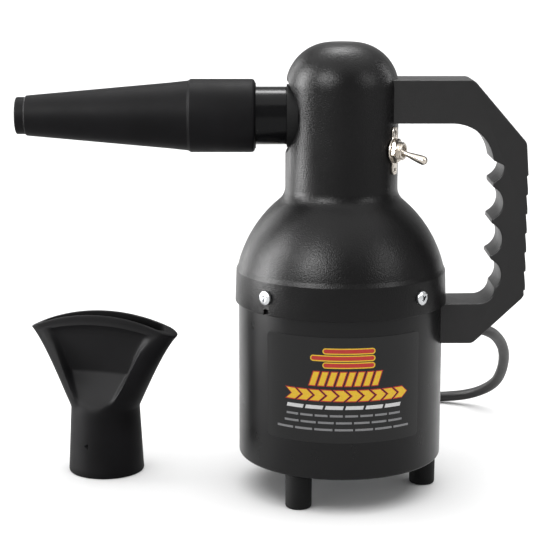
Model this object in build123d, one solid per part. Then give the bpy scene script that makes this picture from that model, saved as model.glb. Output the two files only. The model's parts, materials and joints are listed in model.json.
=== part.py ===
from build123d import *
import math
import os

# Hand-held car dryer blower. All sizes are in millimetres.
# Every piece is drawn about the motor can's axis, with Z = 0 on the floor and the outlet towards -X.
# The last step moves the whole object along X, so that the origin is under the middle of its length.

# ---- motor can -------------------------------------------------------------------------------------
CAN_R = 68.2
CAN_WALL = 1.2
CAN_TOP_Z = 146.0
CAN_EDGE_R = 2.0
INTAKE_OPENING_R = 46.0

# ---- feet ------------------------------------------------------------------------------------------
FOOT_H = 23.7
FOOT_TOP_R = 9.0
FOOT_BOTTOM_R = 8.6
FOOT_CIRCLE_R = 57.0
FOOT_ANGLES = (0, 120, 240)
FOOT_COUNTERBORE_R = 4.7
FOOT_COUNTERBORE_DEPTH = 15.0

# ---- upper housing ---------------------------------------------------------------------------------
HOUSING_WALL = 2.2
HOUSING_TOP_Z = 300.0
LIP_CLEARANCE = 0.15
LIP_WALL = 2.15
LIP_Z = 128.8
RIDGE_DROP = 0.75
RIDGE_Z = 150.2
RIDGE_STEP = 1.3
RIDGE_STEP_H = 2.8
SHOULDER_ARC_R = 81.5
SHOULDER_START_ANGLE = 13.9
SEAT_WIDTH = 1.7
NECK_R = 37.2
NECK_FILLET_R = 12.0
DOME_CORNER_R = 30.0
NOTCH_W = 5.0
NOTCH_H = 4.0

# ---- screws (the same thread throughout is a plain shank) ------------------------------------------
SCREW_R = 2.0
SCREW_CLEARANCE = 0.05
SCREW_HEAD_R = 4.6
SCREW_HEAD_H = 2.8
RECESS_W = 1.3
LIP_SCREW_Z = 140.3
LIP_SCREW_ANGLES = (45, 135, 225, 315)
LIP_SCREW_LENGTH = 9.0
NUT_AF = 7.0
NUT_H = 3.2

# ---- outlet and straight nozzle --------------------------------------------------------------------
OUTLET_Z = 252.0
OUTLET_TUBE_R = 19.0
OUTLET_TUBE_WALL = 1.5
OUTLET_TUBE_INNER_X = -29.0
OUTLET_TUBE_END_X = -95.0
OUTLET_RECESS_GAP = 5.0
FLANGE_LAP = 4.0
FLANGE_T = 1.5
FLANGE_COLLAR_WALL = 1.6
FLANGE_COLLAR_SET_BACK = 0.9
PUSH_FIT_CLEARANCE = 0.08
COLLAR_X = -56.5
COLLAR_END_X = -99.2
COLLAR_WALL = 4.92
COLLAR_EDGE_R = 2.4
COLLAR_STEP = 1.4
COLLAR_STEP_LENGTH = 1.8
CONE_MID_X = -109.6
CONE_MID_WALL = 3.9
CONE_END_X = -207.0
CONE_END_R = 13.2
TIP_X = -213.9
TIP_STEP = 1.0
TIP_WALL = 2.3
TIP_BORE_LENGTH = 10.0

# ---- flare nozzle, which stands loose beside the blower --------------------------------------------
FLARE_X = -162.5
FLARE_Y = 30.0
FLARE_YAW = -17.0
FLARE_WALL = 2.4
FLARE_BASE_WALL = 7.2
FLARE_WAIST_WALL = 4.8
FLARE_WAIST_Z = 49.0
FLARE_SOCKET_DEPTH = 44.0
FLARE_TOP_Z = 112.0
FLARE_MOUTH_ARC_R = 127.5
FLARE_SIDE_ANGLE = 31.0
FLARE_MOUTH_HALF_T = 9.2

# ---- grip handle -----------------------------------------------------------------------------------
HANDLE_W = 35.0
HANDLE_EDGE_R = 1.5
HANDLE_REACH = 121.3
HANDLE_TOP_Z = 276.6
HANDLE_TOP_ARM_H = 28.2
HANDLE_BOTTOM_Z = 102.2
HANDLE_BOTTOM_ARM_H = 25.0
HANDLE_CORNER_R = 5.0
HANDLE_HEEL_R = 9.0
TOP_CHAMFER = (36.8, 40.6)
TOP_CHAMFER_LEAN = 1.6
BOTTOM_CHAMFER = (34.0, 32.4)
GRIP_TOP_R = 27.0
GRIP_BOTTOM_R = 10.5
GRIP_FLOOR_RISE = 2.0
GRIP_INNER_X = 98.4
GRIP_INNER_LEAN = 1.0
FINGER_COUNT = 4
FINGER_PITCH = 24.1
FINGER_FIRST_Z = 148.4
FINGER_DEPTH = 6.6
FINGER_R = 11.4
FINGER_BUMP_R = 1.8
SERRATION_COUNT = 7
SERRATION_PITCH = 12.7
SERRATION_TOP_Z = 215.0
SERRATION_STEP = 1.1
SERRATION_SHARE = 0.8
HANDLE_SCREW_Y = 8.0
HANDLE_SCREW_LENGTH = 16.0

# ---- toggle switch ---------------------------------------------------------------------------------
SWITCH_AZIMUTH = -27.0
SWITCH_Z = 230.9
BUSHING_R = 5.95
BUSHING_CLEARANCE = 0.15
BUSHING_OUT = 7.2
BUSHING_BORE_R = 3.6
SWITCH_BODY = (20.0, 13.0, 21.0)
SWITCH_PLATE_T = 1.0
SWITCH_PLATE_RING_R = 9.0
SWITCH_PLATE_LUG_W = 7.6
SWITCH_PLATE_H = 31.0
WASHER_R = 7.6
WASHER_T = 0.6
SWITCH_NUT_AF = 14.2
SWITCH_NUT_T = 2.2
LEVER_PIVOT_OUT = 3.6
LEVER_BALL_CLEARANCE = 0.08
LEVER_LENGTH = 20.6
LEVER_NECK_R = 1.6
LEVER_TIP_R = 3.0
LEVER_TILT = 17.0
SWITCH_BODY_DEPTH_IN = 3.2

# ---- rating label ----------------------------------------------------------------------------------
LABEL_HALF_ANGLE = 45.5
LABEL_Z = (48.9, 118.4)
LABEL_T = 0.25
LABEL_CORNER_R = 3.0

# ---- motor and fan, inside the can -----------------------------------------------------------------
INTAKE_PLATE_T = 1.0
INTAKE_PLATE_R = 64.0
INTAKE_HOLE_R = 2.2
INTAKE_HOLE_PITCH = 7.5
FOAM_R = 50.5
FOAM_T = 10.0
FAN_SHELL_R = 62.0
FAN_SHELL_WALL = 1.0
FAN_SHELL_Z = 42.0
FAN_SHELL_H = 22.0
FAN_EYE_R = 21.0
FAN_COVER_T = 2.0
EXHAUST_SLOTS = 8
EXHAUST_SLOT = (12.0, 18.0)
EXHAUST_SLOT_R = 51.0
GASKET_H = 12.0
IMPELLER_R = 57.0
IMPELLER_GAP = 3.0
IMPELLER_H = 14.0
IMPELLER_DISC_T = 1.2
IMPELLER_BLADES = 8
IMPELLER_HUB_WALL = 5.0
BLADE_MIDDLE = (37.0, 9.0)
BLADE_END_Y = 6.0
IMPELLER_NUT_AF = 13.0
IMPELLER_NUT_H = 5.0
SHAFT_R = 4.0
BEARING_R = 11.0
BEARING_H = 7.0
RUNNING_CLEARANCE = 0.05
STATOR_R = 40.0
STATOR_YOKE = 5.0
STATOR_Z = 84.0
STATOR_H = 32.0
POLE_HALF_W = 9.0
AIR_GAP = 0.6
ARMATURE_R = 24.0
WINDING_R = 20.0
WINDING_H = 8.0
ARMATURE_SLOTS = 12
ARMATURE_SLOT = (9.0, 1.6)
COIL_T = 6.0
COIL_DEPTH = 5.0
COMMUTATOR_R = 12.5
COMMUTATOR_H = 12.0
COMMUTATOR_BARS = 24
COMMUTATOR_CUT = (2.4, 0.5)
BRUSH_Z = 130.5
BRUSH_W = 6.0
BRUSH_H = 8.0
BRUSH_TUBE_END = 33.5
BRUSH_LENGTH = 12.0
BRUSH_CLEARANCE = 0.3
MOTOR_SCREW_R = 1.6
MOTOR_SCREW_CIRCLE_R = 37.5
SPACER_R = 2.9
BRACKET_Z = 138.0
BRACKET_T = 2.0

# ---- mains cord ------------------------------------------------------------------------------------
CORD_R = 4.0
CORD_EXIT_AZIMUTH = 30.0
CORD_EXIT_Z = 108.0
CORD_DROOP = 15.0
CORD_LEAD_OUT = 28.0
RELIEF_LENGTH = 30.0
RELIEF_ROOT_R = 7.6
RELIEF_TIP_R = 5.0
RELIEF_FLANGE_R = 10.0
RELIEF_FLANGE_T = 2.0
COIL_CENTRE = (9.0, 144.5)
COIL_MID_R = 44.5
COIL_ROWS = 3
COIL_LAYERS = 4
TIE_T = 1.0
TIE_W = 16.0
PLUG_LENGTH = 36.0
PLUG_W = 30.0
PLUG_H = 24.0
PLUG_BLADE = (17.0, 1.5, 6.3)
PLUG_BLADE_HALF_GAP = 6.35
PLUG_BLADE_RISE = 3.0
PLUG_EARTH_R = 2.4
PLUG_EARTH_DROP = 7.0
PLUG_EDGE_R = 3.0
LEAD_R = 1.2
LEAD_BEND_R = 6.0
LEAD_STAND_OFF = 9.6
LEAD_SPREAD = 6.0
SUPPLY_LEAD_ROUTE = [(50.0, 34.0, 130.0), (46.0, 30.0, 160.0), (16.0, 22.0, 205.0)]
FEED_LEAD_ROUTE = [(-6.0, 6.0, 200.0), (-4.0, 36.0, 165.0)]

# ---- values worked out from those above ------------------------------------------------------------
CAN_INNER_R = CAN_R - CAN_WALL
CAN_FLOOR_Z = FOOT_H + CAN_WALL
LIP_R = CAN_R + LIP_CLEARANCE + LIP_WALL
RIDGE_R = LIP_R - RIDGE_DROP
NECK_INNER_R = NECK_R - HOUSING_WALL
OUTLET_TUBE_BORE_R = OUTLET_TUBE_R - OUTLET_TUBE_WALL
SOCKET_R = OUTLET_TUBE_R + PUSH_FIT_CLEARANCE
OUTLET_RECESS_R = OUTLET_TUBE_R + OUTLET_RECESS_GAP
COLLAR_R = SOCKET_R + COLLAR_WALL
CONE_MID_R = OUTLET_TUBE_BORE_R + CONE_MID_WALL
TIP_R = CONE_END_R - TIP_STEP
TIP_BORE_R = TIP_R - TIP_WALL
FLARE_BASE_R = SOCKET_R + FLARE_BASE_WALL
FLARE_WAIST_R = SOCKET_R + FLARE_WAIST_WALL
FAN_COVER_Z = FAN_SHELL_Z + FAN_SHELL_H
IMPELLER_Z = FAN_SHELL_Z + FAN_SHELL_WALL + IMPELLER_GAP
STATOR_TOP_Z = STATOR_Z + STATOR_H
COIL_SECTION_W = 2 * CORD_R * COIL_ROWS
COIL_SECTION_H = 2 * CORD_R * COIL_LAYERS
CAN_X = (-TIP_X - HANDLE_REACH) / 2

# The cord's route from the strain relief down to the coil behind the can, then from the coil to the plug.
CORD_ROUTE = [
    (120.5, 88.0, 79.5),
    (128.3, 112.0, 63.0),
    (131.3, 140.0, 42.5),
    (129.5, 166.0, 23.5),
    (114.5, 186.0, 9.5),
    (90.5, 196.5, 4.2),
    (65.0, 197.1, 4.0),
    (40.0, 196.2, 4.4),
    (18.0, 196.6, 5.0),
]
TAIL_ROUTE = [
    (62.5, 150.5, 14.5),
    (61.0, 173.0, 15.5),
    (56.0, 195.0, 15.5),
    (45.0, 215.0, 14.0),
    (28.0, 229.0, 12.5),
    (6.0, 234.0, 12.0),
]


def polar(radius, degrees, z=0.0):
    """Point at a radius and angle about the can's axis, 0 towards +X and 90 towards +Y."""
    angle = math.radians(degrees)
    return Vector(radius * math.cos(angle), radius * math.sin(angle), z)


def radial_plane(radius, degrees, z):
    """Plane whose origin is at that place and whose normal points straight out from the can's axis."""
    outward = polar(1, degrees)
    return Plane(origin=polar(radius, degrees, z), x_dir=(0, 0, 1), z_dir=outward)


def rod(radius, start, end):
    """Solid cylinder between two points."""
    start, end = Vector(*start), Vector(*end)
    plane = Plane(origin=start, z_dir=end - start)
    return plane * Cylinder(radius, (end - start).length, align=(Align.CENTER, Align.CENTER, Align.MIN))


def ring(outer, inner, z, height):
    """Flat ring about the can's axis."""
    low = (Align.CENTER, Align.CENTER, Align.MIN)
    return Pos(0, 0, z) * (Cylinder(outer, height, align=low) - Cylinder(inner, height, align=low))


def arc(centre, radius, start, end):
    """Arc in a profile, between two angles in degrees."""
    def at(degrees):
        angle = math.radians(degrees)
        return (centre[0] + radius * math.cos(angle), centre[1] + radius * math.sin(angle))
    return ThreePointArc(at(start), at((start + end) / 2), at(end))


def turned(edges):
    """Solid turned about the can's axis from a closed profile of radius and height."""
    return revolve(Plane.XZ * make_face(edges), Axis.Z)


def turned_polygon(points):
    """The same from a list of corners."""
    return turned(Polyline(*points, close=True).edges())


def pan_screw(plane, length, shank_r=SCREW_R, head_r=SCREW_HEAD_R, head_h=SCREW_HEAD_H):
    """Pan-head screw with a cross recess: its head stands on the plane and its shank goes below it."""
    low = (Align.CENTER, Align.CENTER, Align.MIN)
    head = fillet(Cylinder(head_r, head_h, align=low).edges().group_by(Axis.Z)[-1], head_h * 0.55)
    for turn in (0, 90):
        slot = Rot(0, 0, turn) * Box(head_r * 1.1, RECESS_W, head_h, align=low)
        head -= Pos(0, 0, head_h * 0.45) * slot
    shank = Pos(0, 0, -length) * Cylinder(shank_r, length, align=low)
    return plane * (head + shank)


# ---- the shells ------------------------------------------------------------------------------------
def shoulder_geometry():
    """Centre of the shoulder's arc, and centre of the hollow fillet that joins it to the neck."""
    start_angle = math.radians(SHOULDER_START_ANGLE)
    start = (RIDGE_R - RIDGE_STEP, RIDGE_Z + RIDGE_STEP_H)
    centre_r = start[0] - SHOULDER_ARC_R * math.cos(start_angle)
    centre_z = start[1] - SHOULDER_ARC_R * math.sin(start_angle)
    reach = SHOULDER_ARC_R + NECK_FILLET_R
    across = NECK_R + NECK_FILLET_R - centre_r
    return (centre_r, centre_z), (NECK_R + NECK_FILLET_R, centre_z + math.sqrt(reach ** 2 - across ** 2))


def housing_upper_edges(inset, start_angle):
    """Shoulder, neck and dome of the housing's profile, moved in by the inset, and its first point."""
    shoulder, fillet_centre = shoulder_geometry()
    join = math.degrees(math.atan2(fillet_centre[1] - shoulder[1], fillet_centre[0] - shoulder[0]))
    dome_centre = (NECK_R - DOME_CORNER_R, HOUSING_TOP_Z - DOME_CORNER_R)
    rise = arc(shoulder, SHOULDER_ARC_R - inset, start_angle, join)
    hollow = arc(fillet_centre, NECK_FILLET_R + inset, join + 180, 180)
    corner = arc(dome_centre, DOME_CORNER_R - inset, 0, 90)
    neck = Line(hollow @ 1, corner @ 0)
    crown = Line(corner @ 1, (0, HOUSING_TOP_Z - inset))
    return [rise, hollow, neck, corner, crown], rise @ 0


def housing_outside():
    """Full outer form of the upper housing, with no hollow."""
    edges, start = housing_upper_edges(0, SHOULDER_START_ANGLE)
    edges += Polyline(
        (start.X, start.Y), (RIDGE_R, RIDGE_Z), (LIP_R, LIP_Z), (0, LIP_Z), (0, HOUSING_TOP_Z),
    ).edges()
    return turned(edges)


def housing_hollow(liner=0.0):
    """Space inside the upper housing, less a liner: seat for the can, then shoulder, neck and dome."""
    inset = HOUSING_WALL + liner
    seat_r = CAN_R + LIP_CLEARANCE
    inner_r = CAN_R - SEAT_WIDTH - liner
    shoulder = shoulder_geometry()[0]
    start_angle = math.degrees(math.acos((inner_r - shoulder[0]) / (SHOULDER_ARC_R - inset)))
    edges, start = housing_upper_edges(inset, start_angle)
    edges += Polyline(
        (start.X, start.Y), (inner_r, CAN_TOP_Z), (seat_r, CAN_TOP_Z), (seat_r, LIP_Z), (0, LIP_Z),
        (0, HOUSING_TOP_Z - inset),
    ).edges()
    return turned(edges)


def make_upper_housing():
    """Powder-coated casting: lip over the can, shoulder, neck with the outlet's opening, and dome."""
    solid = housing_outside() - housing_hollow()
    solid -= rod(OUTLET_RECESS_R, (0, 0, OUTLET_Z), (-2 * NECK_R, 0, OUTLET_Z))
    for angle in LIP_SCREW_ANGLES:
        solid -= rod(SCREW_R + SCREW_CLEARANCE, polar(CAN_INNER_R, angle, LIP_SCREW_Z),
                     polar(LIP_R + 5, angle, LIP_SCREW_Z))
    for point in handle_screw_points():
        solid -= rod(SCREW_R + SCREW_CLEARANCE, (0, point[1], point[2]), (NECK_R + 5, point[1], point[2]))
    solid -= switch_plane(0) * Cylinder(BUSHING_R + BUSHING_CLEARANCE, 20)
    notch = Box(20, NOTCH_W, NOTCH_H, align=(Align.CENTER, Align.CENTER, Align.MIN))
    return solid - Rot(0, 0, 225) * (Pos(LIP_R, 0, LIP_Z) * notch)


def make_can():
    """Drawn steel can, open at the top, with a round intake opening in its floor."""
    low = (Align.CENTER, Align.CENTER, Align.MIN)
    outside = Pos(0, 0, FOOT_H) * Cylinder(CAN_R, CAN_TOP_Z - FOOT_H, align=low)
    outside = fillet(outside.edges().group_by(Axis.Z)[0], CAN_EDGE_R)
    inside = Pos(0, 0, CAN_FLOOR_Z) * Cylinder(CAN_INNER_R, CAN_TOP_Z - CAN_FLOOR_Z, align=low)
    inside = fillet(inside.edges().group_by(Axis.Z)[0], max(CAN_EDGE_R - CAN_WALL, 0.3))
    solid = outside - inside - Pos(0, 0, FOOT_H) * Cylinder(INTAKE_OPENING_R, CAN_WALL, align=low)
    hole_r = SCREW_R + SCREW_CLEARANCE
    for angle in LIP_SCREW_ANGLES:
        solid -= rod(hole_r, polar(CAN_INNER_R - 5, angle, LIP_SCREW_Z), polar(LIP_R, angle, LIP_SCREW_Z))
    for angle in FOOT_ANGLES:
        solid -= rod(hole_r, polar(FOOT_CIRCLE_R, angle, 0), polar(FOOT_CIRCLE_R, angle, FOOT_H + 5))
    for x, y, z in can_handle_screw_points():
        solid -= rod(hole_r, (CAN_R - 15, y, z), (CAN_R + 5, y, z))
    exit_plane = radial_plane(CAN_R, CORD_EXIT_AZIMUTH, CORD_EXIT_Z)
    return solid - exit_plane * Cylinder(CORD_R + SCREW_CLEARANCE, 20)


def make_label():
    """Glossy film wrapped round the front of the can."""
    half_w = CAN_R * math.sin(math.radians(LABEL_HALF_ANGLE))
    height = LABEL_Z[1] - LABEL_Z[0]
    plane = Plane(origin=(0, 0, (LABEL_Z[0] + LABEL_Z[1]) / 2), x_dir=(1, 0, 0), z_dir=(0, -1, 0))
    sheet = extrude(plane * RectangleRounded(2 * half_w, height, LABEL_CORNER_R), CAN_R + 5)
    return ring(CAN_R + LABEL_T, CAN_R, LABEL_Z[0] - 5, height + 10) & sheet


# ---- feet and lip screws ---------------------------------------------------------------------------
def make_foot(angle):
    """Rubber bumper foot with a counterbore for its screw."""
    foot = turned_polygon([
        (SCREW_R + SCREW_CLEARANCE, FOOT_H), (FOOT_TOP_R, FOOT_H), (FOOT_BOTTOM_R, 0),
        (FOOT_COUNTERBORE_R, 0), (FOOT_COUNTERBORE_R, FOOT_COUNTERBORE_DEPTH),
        (SCREW_R + SCREW_CLEARANCE, FOOT_COUNTERBORE_DEPTH),
    ])
    return Pos(*polar(FOOT_CIRCLE_R, angle)) * foot


def make_foot_screws():
    """One screw up through each foot, the can's floor and the intake plate."""
    length = CAN_FLOOR_Z + INTAKE_PLATE_T + NUT_H + 1 - FOOT_COUNTERBORE_DEPTH
    screws = []
    for angle in FOOT_ANGLES:
        place = Plane(origin=polar(FOOT_CIRCLE_R, angle, FOOT_COUNTERBORE_DEPTH), z_dir=(0, 0, -1))
        screws.append(pan_screw(place, length, head_r=SCREW_HEAD_R - 0.6))
    return Compound(screws)


def make_foot_nuts():
    """One hexagon nut on each foot's screw."""
    nut = extrude(RegularPolygon(NUT_AF / 2, 6, major_radius=False), NUT_H)
    nut -= Cylinder(SCREW_R + SCREW_CLEARANCE, 4 * NUT_H)
    top = CAN_FLOOR_Z + INTAKE_PLATE_T
    return Compound([Pos(*polar(FOOT_CIRCLE_R, angle, top)) * nut for angle in FOOT_ANGLES])


def make_lip_screws():
    """Four screws that hold the lip of the housing to the can."""
    lip_slope = RIDGE_DROP * (LIP_SCREW_Z - LIP_Z) / (RIDGE_Z - LIP_Z)
    seat_r = LIP_R - lip_slope + 0.2
    return Compound([
        pan_screw(radial_plane(seat_r, angle, LIP_SCREW_Z), LIP_SCREW_LENGTH) for angle in LIP_SCREW_ANGLES
    ])


# ---- outlet tube and nozzles -----------------------------------------------------------------------
def along_outlet(points):
    """Solid turned about the outlet's axis from corners given as place along X and radius."""
    face = Plane.XZ * make_face(Polyline(*points, close=True).edges())
    return Pos(0, 0, OUTLET_Z) * revolve(face, Axis.X)


def make_outlet_tube():
    """Steel tube that carries the nozzle."""
    return (rod(OUTLET_TUBE_R, (OUTLET_TUBE_INNER_X, 0, OUTLET_Z), (OUTLET_TUBE_END_X, 0, OUTLET_Z))
            - rod(OUTLET_TUBE_BORE_R, (OUTLET_TUBE_INNER_X, 0, OUTLET_Z), (OUTLET_TUBE_END_X, 0, OUTLET_Z)))


def make_outlet_flange():
    """Saddle plate behind the neck's opening, with the collar that holds the tube."""
    start = (OUTLET_TUBE_INNER_X, 0, OUTLET_Z)
    face = (-NECK_R + FLANGE_COLLAR_SET_BACK, 0, OUTLET_Z)
    liner = housing_hollow() - housing_hollow(FLANGE_T)
    plate = liner & rod(OUTLET_RECESS_R + FLANGE_LAP, (0, 0, OUTLET_Z), (-2 * NECK_R, 0, OUTLET_Z))
    collar = rod(OUTLET_TUBE_R + FLANGE_COLLAR_WALL, start, face)
    return plate + collar - rod(OUTLET_TUBE_R, (0, 0, OUTLET_Z), (-2 * NECK_R, 0, OUTLET_Z))


def make_nozzle():
    """Straight rubber nozzle: a push-on collar, a taper and a short tip."""
    stop_x = OUTLET_TUBE_END_X - 1
    collar = rod(COLLAR_R, (COLLAR_X, 0, OUTLET_Z), (COLLAR_END_X, 0, OUTLET_Z))
    collar = fillet(collar.edges().group_by(Axis.X)[-1], COLLAR_EDGE_R)
    taper = along_outlet([
        (COLLAR_END_X, 0), (COLLAR_END_X, COLLAR_R),
        (COLLAR_END_X - COLLAR_STEP_LENGTH, COLLAR_R - COLLAR_STEP), (CONE_MID_X, CONE_MID_R),
        (CONE_END_X, CONE_END_R), (CONE_END_X - TIP_STEP, TIP_R), (TIP_X, TIP_R), (TIP_X, 0),
    ])
    bore = along_outlet([
        (COLLAR_X, 0), (COLLAR_X, SOCKET_R), (stop_x, SOCKET_R), (stop_x, OUTLET_TUBE_BORE_R),
        (CONE_MID_X, OUTLET_TUBE_BORE_R - 0.6), (TIP_X + TIP_BORE_LENGTH, TIP_BORE_R), (TIP_X, TIP_BORE_R),
        (TIP_X, 0),
    ])
    return collar + taper - bore


def flare_section(z, half_width, half_depth):
    """One oval section of the flare nozzle."""
    return Pos(0, 0, z) * Ellipse(half_width, half_depth)


def flare_horn(inset):
    """Spreading part of the flare nozzle, from its waist to above its mouth."""
    spread = math.tan(math.radians(FLARE_SIDE_ANGLE))
    rise = FLARE_TOP_Z - FLARE_WAIST_Z
    waist_r = FLARE_WAIST_R - inset
    mouth_t = FLARE_MOUTH_HALF_T - inset
    middle_t = mouth_t + 0.24 * (waist_r - mouth_t)
    sections = [
        flare_section(FLARE_WAIST_Z, waist_r, waist_r),
        flare_section(FLARE_WAIST_Z + rise / 2, waist_r + spread * rise / 2, middle_t),
        flare_section(FLARE_TOP_Z + 1, waist_r + spread * (rise + 1), mouth_t),
    ]
    return loft(sections)


def make_flare_nozzle():
    """Fan-shaped nozzle: a round socket below and a wide arched mouth above."""
    low = (Align.CENTER, Align.CENTER, Align.MIN)
    inner_waist_r = FLARE_WAIST_R - FLARE_WALL
    body = Cone(FLARE_BASE_R, FLARE_WAIST_R, FLARE_WAIST_Z, align=low) + flare_horn(0)
    throat_h = FLARE_WAIST_Z - FLARE_SOCKET_DEPTH
    hollow = Cylinder(SOCKET_R, FLARE_SOCKET_DEPTH, align=low)
    hollow += Pos(0, 0, FLARE_SOCKET_DEPTH) * Cone(OUTLET_TUBE_BORE_R, inner_waist_r, throat_h, align=low)
    hollow += flare_horn(FLARE_WALL)
    arch_z = FLARE_TOP_Z - FLARE_MOUTH_ARC_R
    arch = Pos(0, 0, arch_z) * (Rot(90, 0, 0) * Cylinder(FLARE_MOUTH_ARC_R, 4 * FLARE_WAIST_R))
    nozzle = (body - hollow) & arch
    return Pos(FLARE_X, FLARE_Y, 0) * (Rot(0, 0, FLARE_YAW) * nozzle)


# ---- handle ----------------------------------------------------------------------------------------
def handle_screw_points():
    """Where the two screws of the handle's upper arm pass through the neck."""
    z = HANDLE_TOP_Z - HANDLE_TOP_ARM_H / 2
    return [(NECK_R, side * HANDLE_SCREW_Y, z) for side in (-1, 1)]


def can_handle_screw_points():
    """Where the two screws of the handle's lower arm pass through the can."""
    z = HANDLE_BOTTOM_Z + HANDLE_BOTTOM_ARM_H / 2
    return [(CAN_R, side * HANDLE_SCREW_Y, z) for side in (-1, 1)]


def handle_outline():
    """Side view of the grip: a bent bar with finger hollows on its inner side."""
    heel = (HANDLE_REACH, HANDLE_BOTTOM_Z + BOTTOM_CHAMFER[1])
    outer = make_face(Polyline(
        (0, HANDLE_TOP_Z), (HANDLE_REACH - TOP_CHAMFER[0], HANDLE_TOP_Z),
        (HANDLE_REACH - TOP_CHAMFER_LEAN, HANDLE_TOP_Z - TOP_CHAMFER[1]), (HANDLE_REACH, SERRATION_TOP_Z),
        heel, (HANDLE_REACH - BOTTOM_CHAMFER[0], HANDLE_BOTTOM_Z), (0, HANDLE_BOTTOM_Z), close=True,
    ).edges())
    corners = outer.vertices().filter_by(lambda v: v.X > 1 and abs(v.Y - SERRATION_TOP_Z) > 1)
    outer = fillet(corners.filter_by(lambda v: abs(v.Y - heel[1]) > 1), HANDLE_CORNER_R)
    outer = fillet(outer.vertices().filter_by(lambda v: abs(v.Y - heel[1]) < 1), HANDLE_HEEL_R)
    low_z = HANDLE_BOTTOM_Z + HANDLE_BOTTOM_ARM_H
    top_z = HANDLE_TOP_Z - HANDLE_TOP_ARM_H
    middle_z = (low_z + top_z) / 2
    inner = make_face(Polyline(
        (-1, top_z), (GRIP_INNER_X, top_z), (GRIP_INNER_X - GRIP_INNER_LEAN, low_z + GRIP_FLOOR_RISE),
        (CAN_R - GRIP_BOTTOM_R, low_z), (-1, low_z), close=True,
    ).edges())
    grip_corners = inner.vertices().filter_by(lambda v: v.X > CAN_R)
    inner = fillet(grip_corners.filter_by(lambda v: v.Y > middle_z), GRIP_TOP_R)
    inner = fillet(inner.vertices().filter_by(lambda v: v.X > CAN_R and v.Y < middle_z), GRIP_BOTTOM_R)
    outline = outer - inner
    for finger in range(FINGER_COUNT):
        centre_x = GRIP_INNER_X + FINGER_DEPTH - FINGER_R
        outline -= Pos(centre_x, FINGER_FIRST_Z + finger * FINGER_PITCH) * Circle(FINGER_R)
    return outline


def make_handle():
    """Moulded grip handle, cut to sit against the neck and the can."""
    plane = Plane(origin=(0, HANDLE_W / 2, 0), x_dir=(1, 0, 0), z_dir=(0, -1, 0))
    finger_middle = FINGER_FIRST_Z + FINGER_PITCH * (FINGER_COUNT - 1) / 2
    finger_span = FINGER_PITCH * FINGER_COUNT / 2 + 2
    solid = extrude(plane * handle_outline(), HANDLE_W)
    cusps = solid.edges().filter_by(Axis.Y).filter_by(
        lambda e: abs(e.center().X - GRIP_INNER_X) < 4 and abs(e.center().Z - finger_middle) < finger_span)
    solid = fillet(cusps, FINGER_BUMP_R)
    face_edges = solid.edges().filter_by(lambda e: abs(abs(e.center().Y) - HANDLE_W / 2) < 0.01)
    rims = face_edges.filter_by(lambda e: e.center().X > 1)
    solid = fillet(rims, HANDLE_EDGE_R)
    for row in range(SERRATION_COUNT):
        top = SERRATION_TOP_Z - row * SERRATION_PITCH
        wedge = make_face(Polyline(
            (HANDLE_REACH + 1, top), (HANDLE_REACH, top), (HANDLE_REACH - SERRATION_STEP, top - 1),
            (HANDLE_REACH, top - SERRATION_SHARE * SERRATION_PITCH),
            (HANDLE_REACH + 1, top - SERRATION_SHARE * SERRATION_PITCH), close=True,
        ).edges())
        solid -= extrude(plane * wedge, HANDLE_W)
    solid -= housing_outside()
    solid -= Pos(0, 0, FOOT_H) * Cylinder(CAN_R, CAN_TOP_Z, align=(Align.CENTER, Align.CENTER, Align.MIN))
    hole_r = SCREW_R + SCREW_CLEARANCE
    for x, y, z in handle_screw_points() + can_handle_screw_points():
        solid -= rod(hole_r, (x - 10, y, z), (x + HANDLE_SCREW_LENGTH, y, z))
    return solid


def make_handle_screws():
    """Four screws from inside the neck and the can into the ends of the handle."""
    screws = []
    for x, y, z in handle_screw_points():
        screws.append(inside_screw(NECK_INNER_R, y, z))
    for x, y, z in can_handle_screw_points():
        screws.append(inside_screw(CAN_INNER_R, y, z))
    return Compound(screws)


def inside_screw(wall_r, y, z):
    """Screw along +X whose head bears on the inside of a round wall of that radius."""
    seat_x = math.sqrt(wall_r ** 2 - (abs(y) + SCREW_HEAD_R) ** 2)
    length = wall_r + HANDLE_SCREW_LENGTH - 2 - seat_x
    return pan_screw(Plane(origin=(seat_x, y, z), z_dir=(-1, 0, 0)), length)


# ---- toggle switch ---------------------------------------------------------------------------------
def switch_plane(out):
    """Plane across the switch's axis, that far outside the neck's surface, with its X axis up."""
    return radial_plane(NECK_R + out, SWITCH_AZIMUTH, SWITCH_Z)


def washer_stack():
    """How far out the plate, the washer and the nut each start and the nut ends."""
    plate = SCREW_CLEARANCE
    washer = plate + SWITCH_PLATE_T
    nut = washer + WASHER_T
    return plate, washer, nut, nut + SWITCH_NUT_T


def flat_ring(outline, out, thickness):
    """Flat piece on the switch's axis with a hole for the bushing."""
    blank = extrude(outline - Circle(BUSHING_R + SCREW_CLEARANCE), thickness)
    return switch_plane(out) * blank


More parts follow.
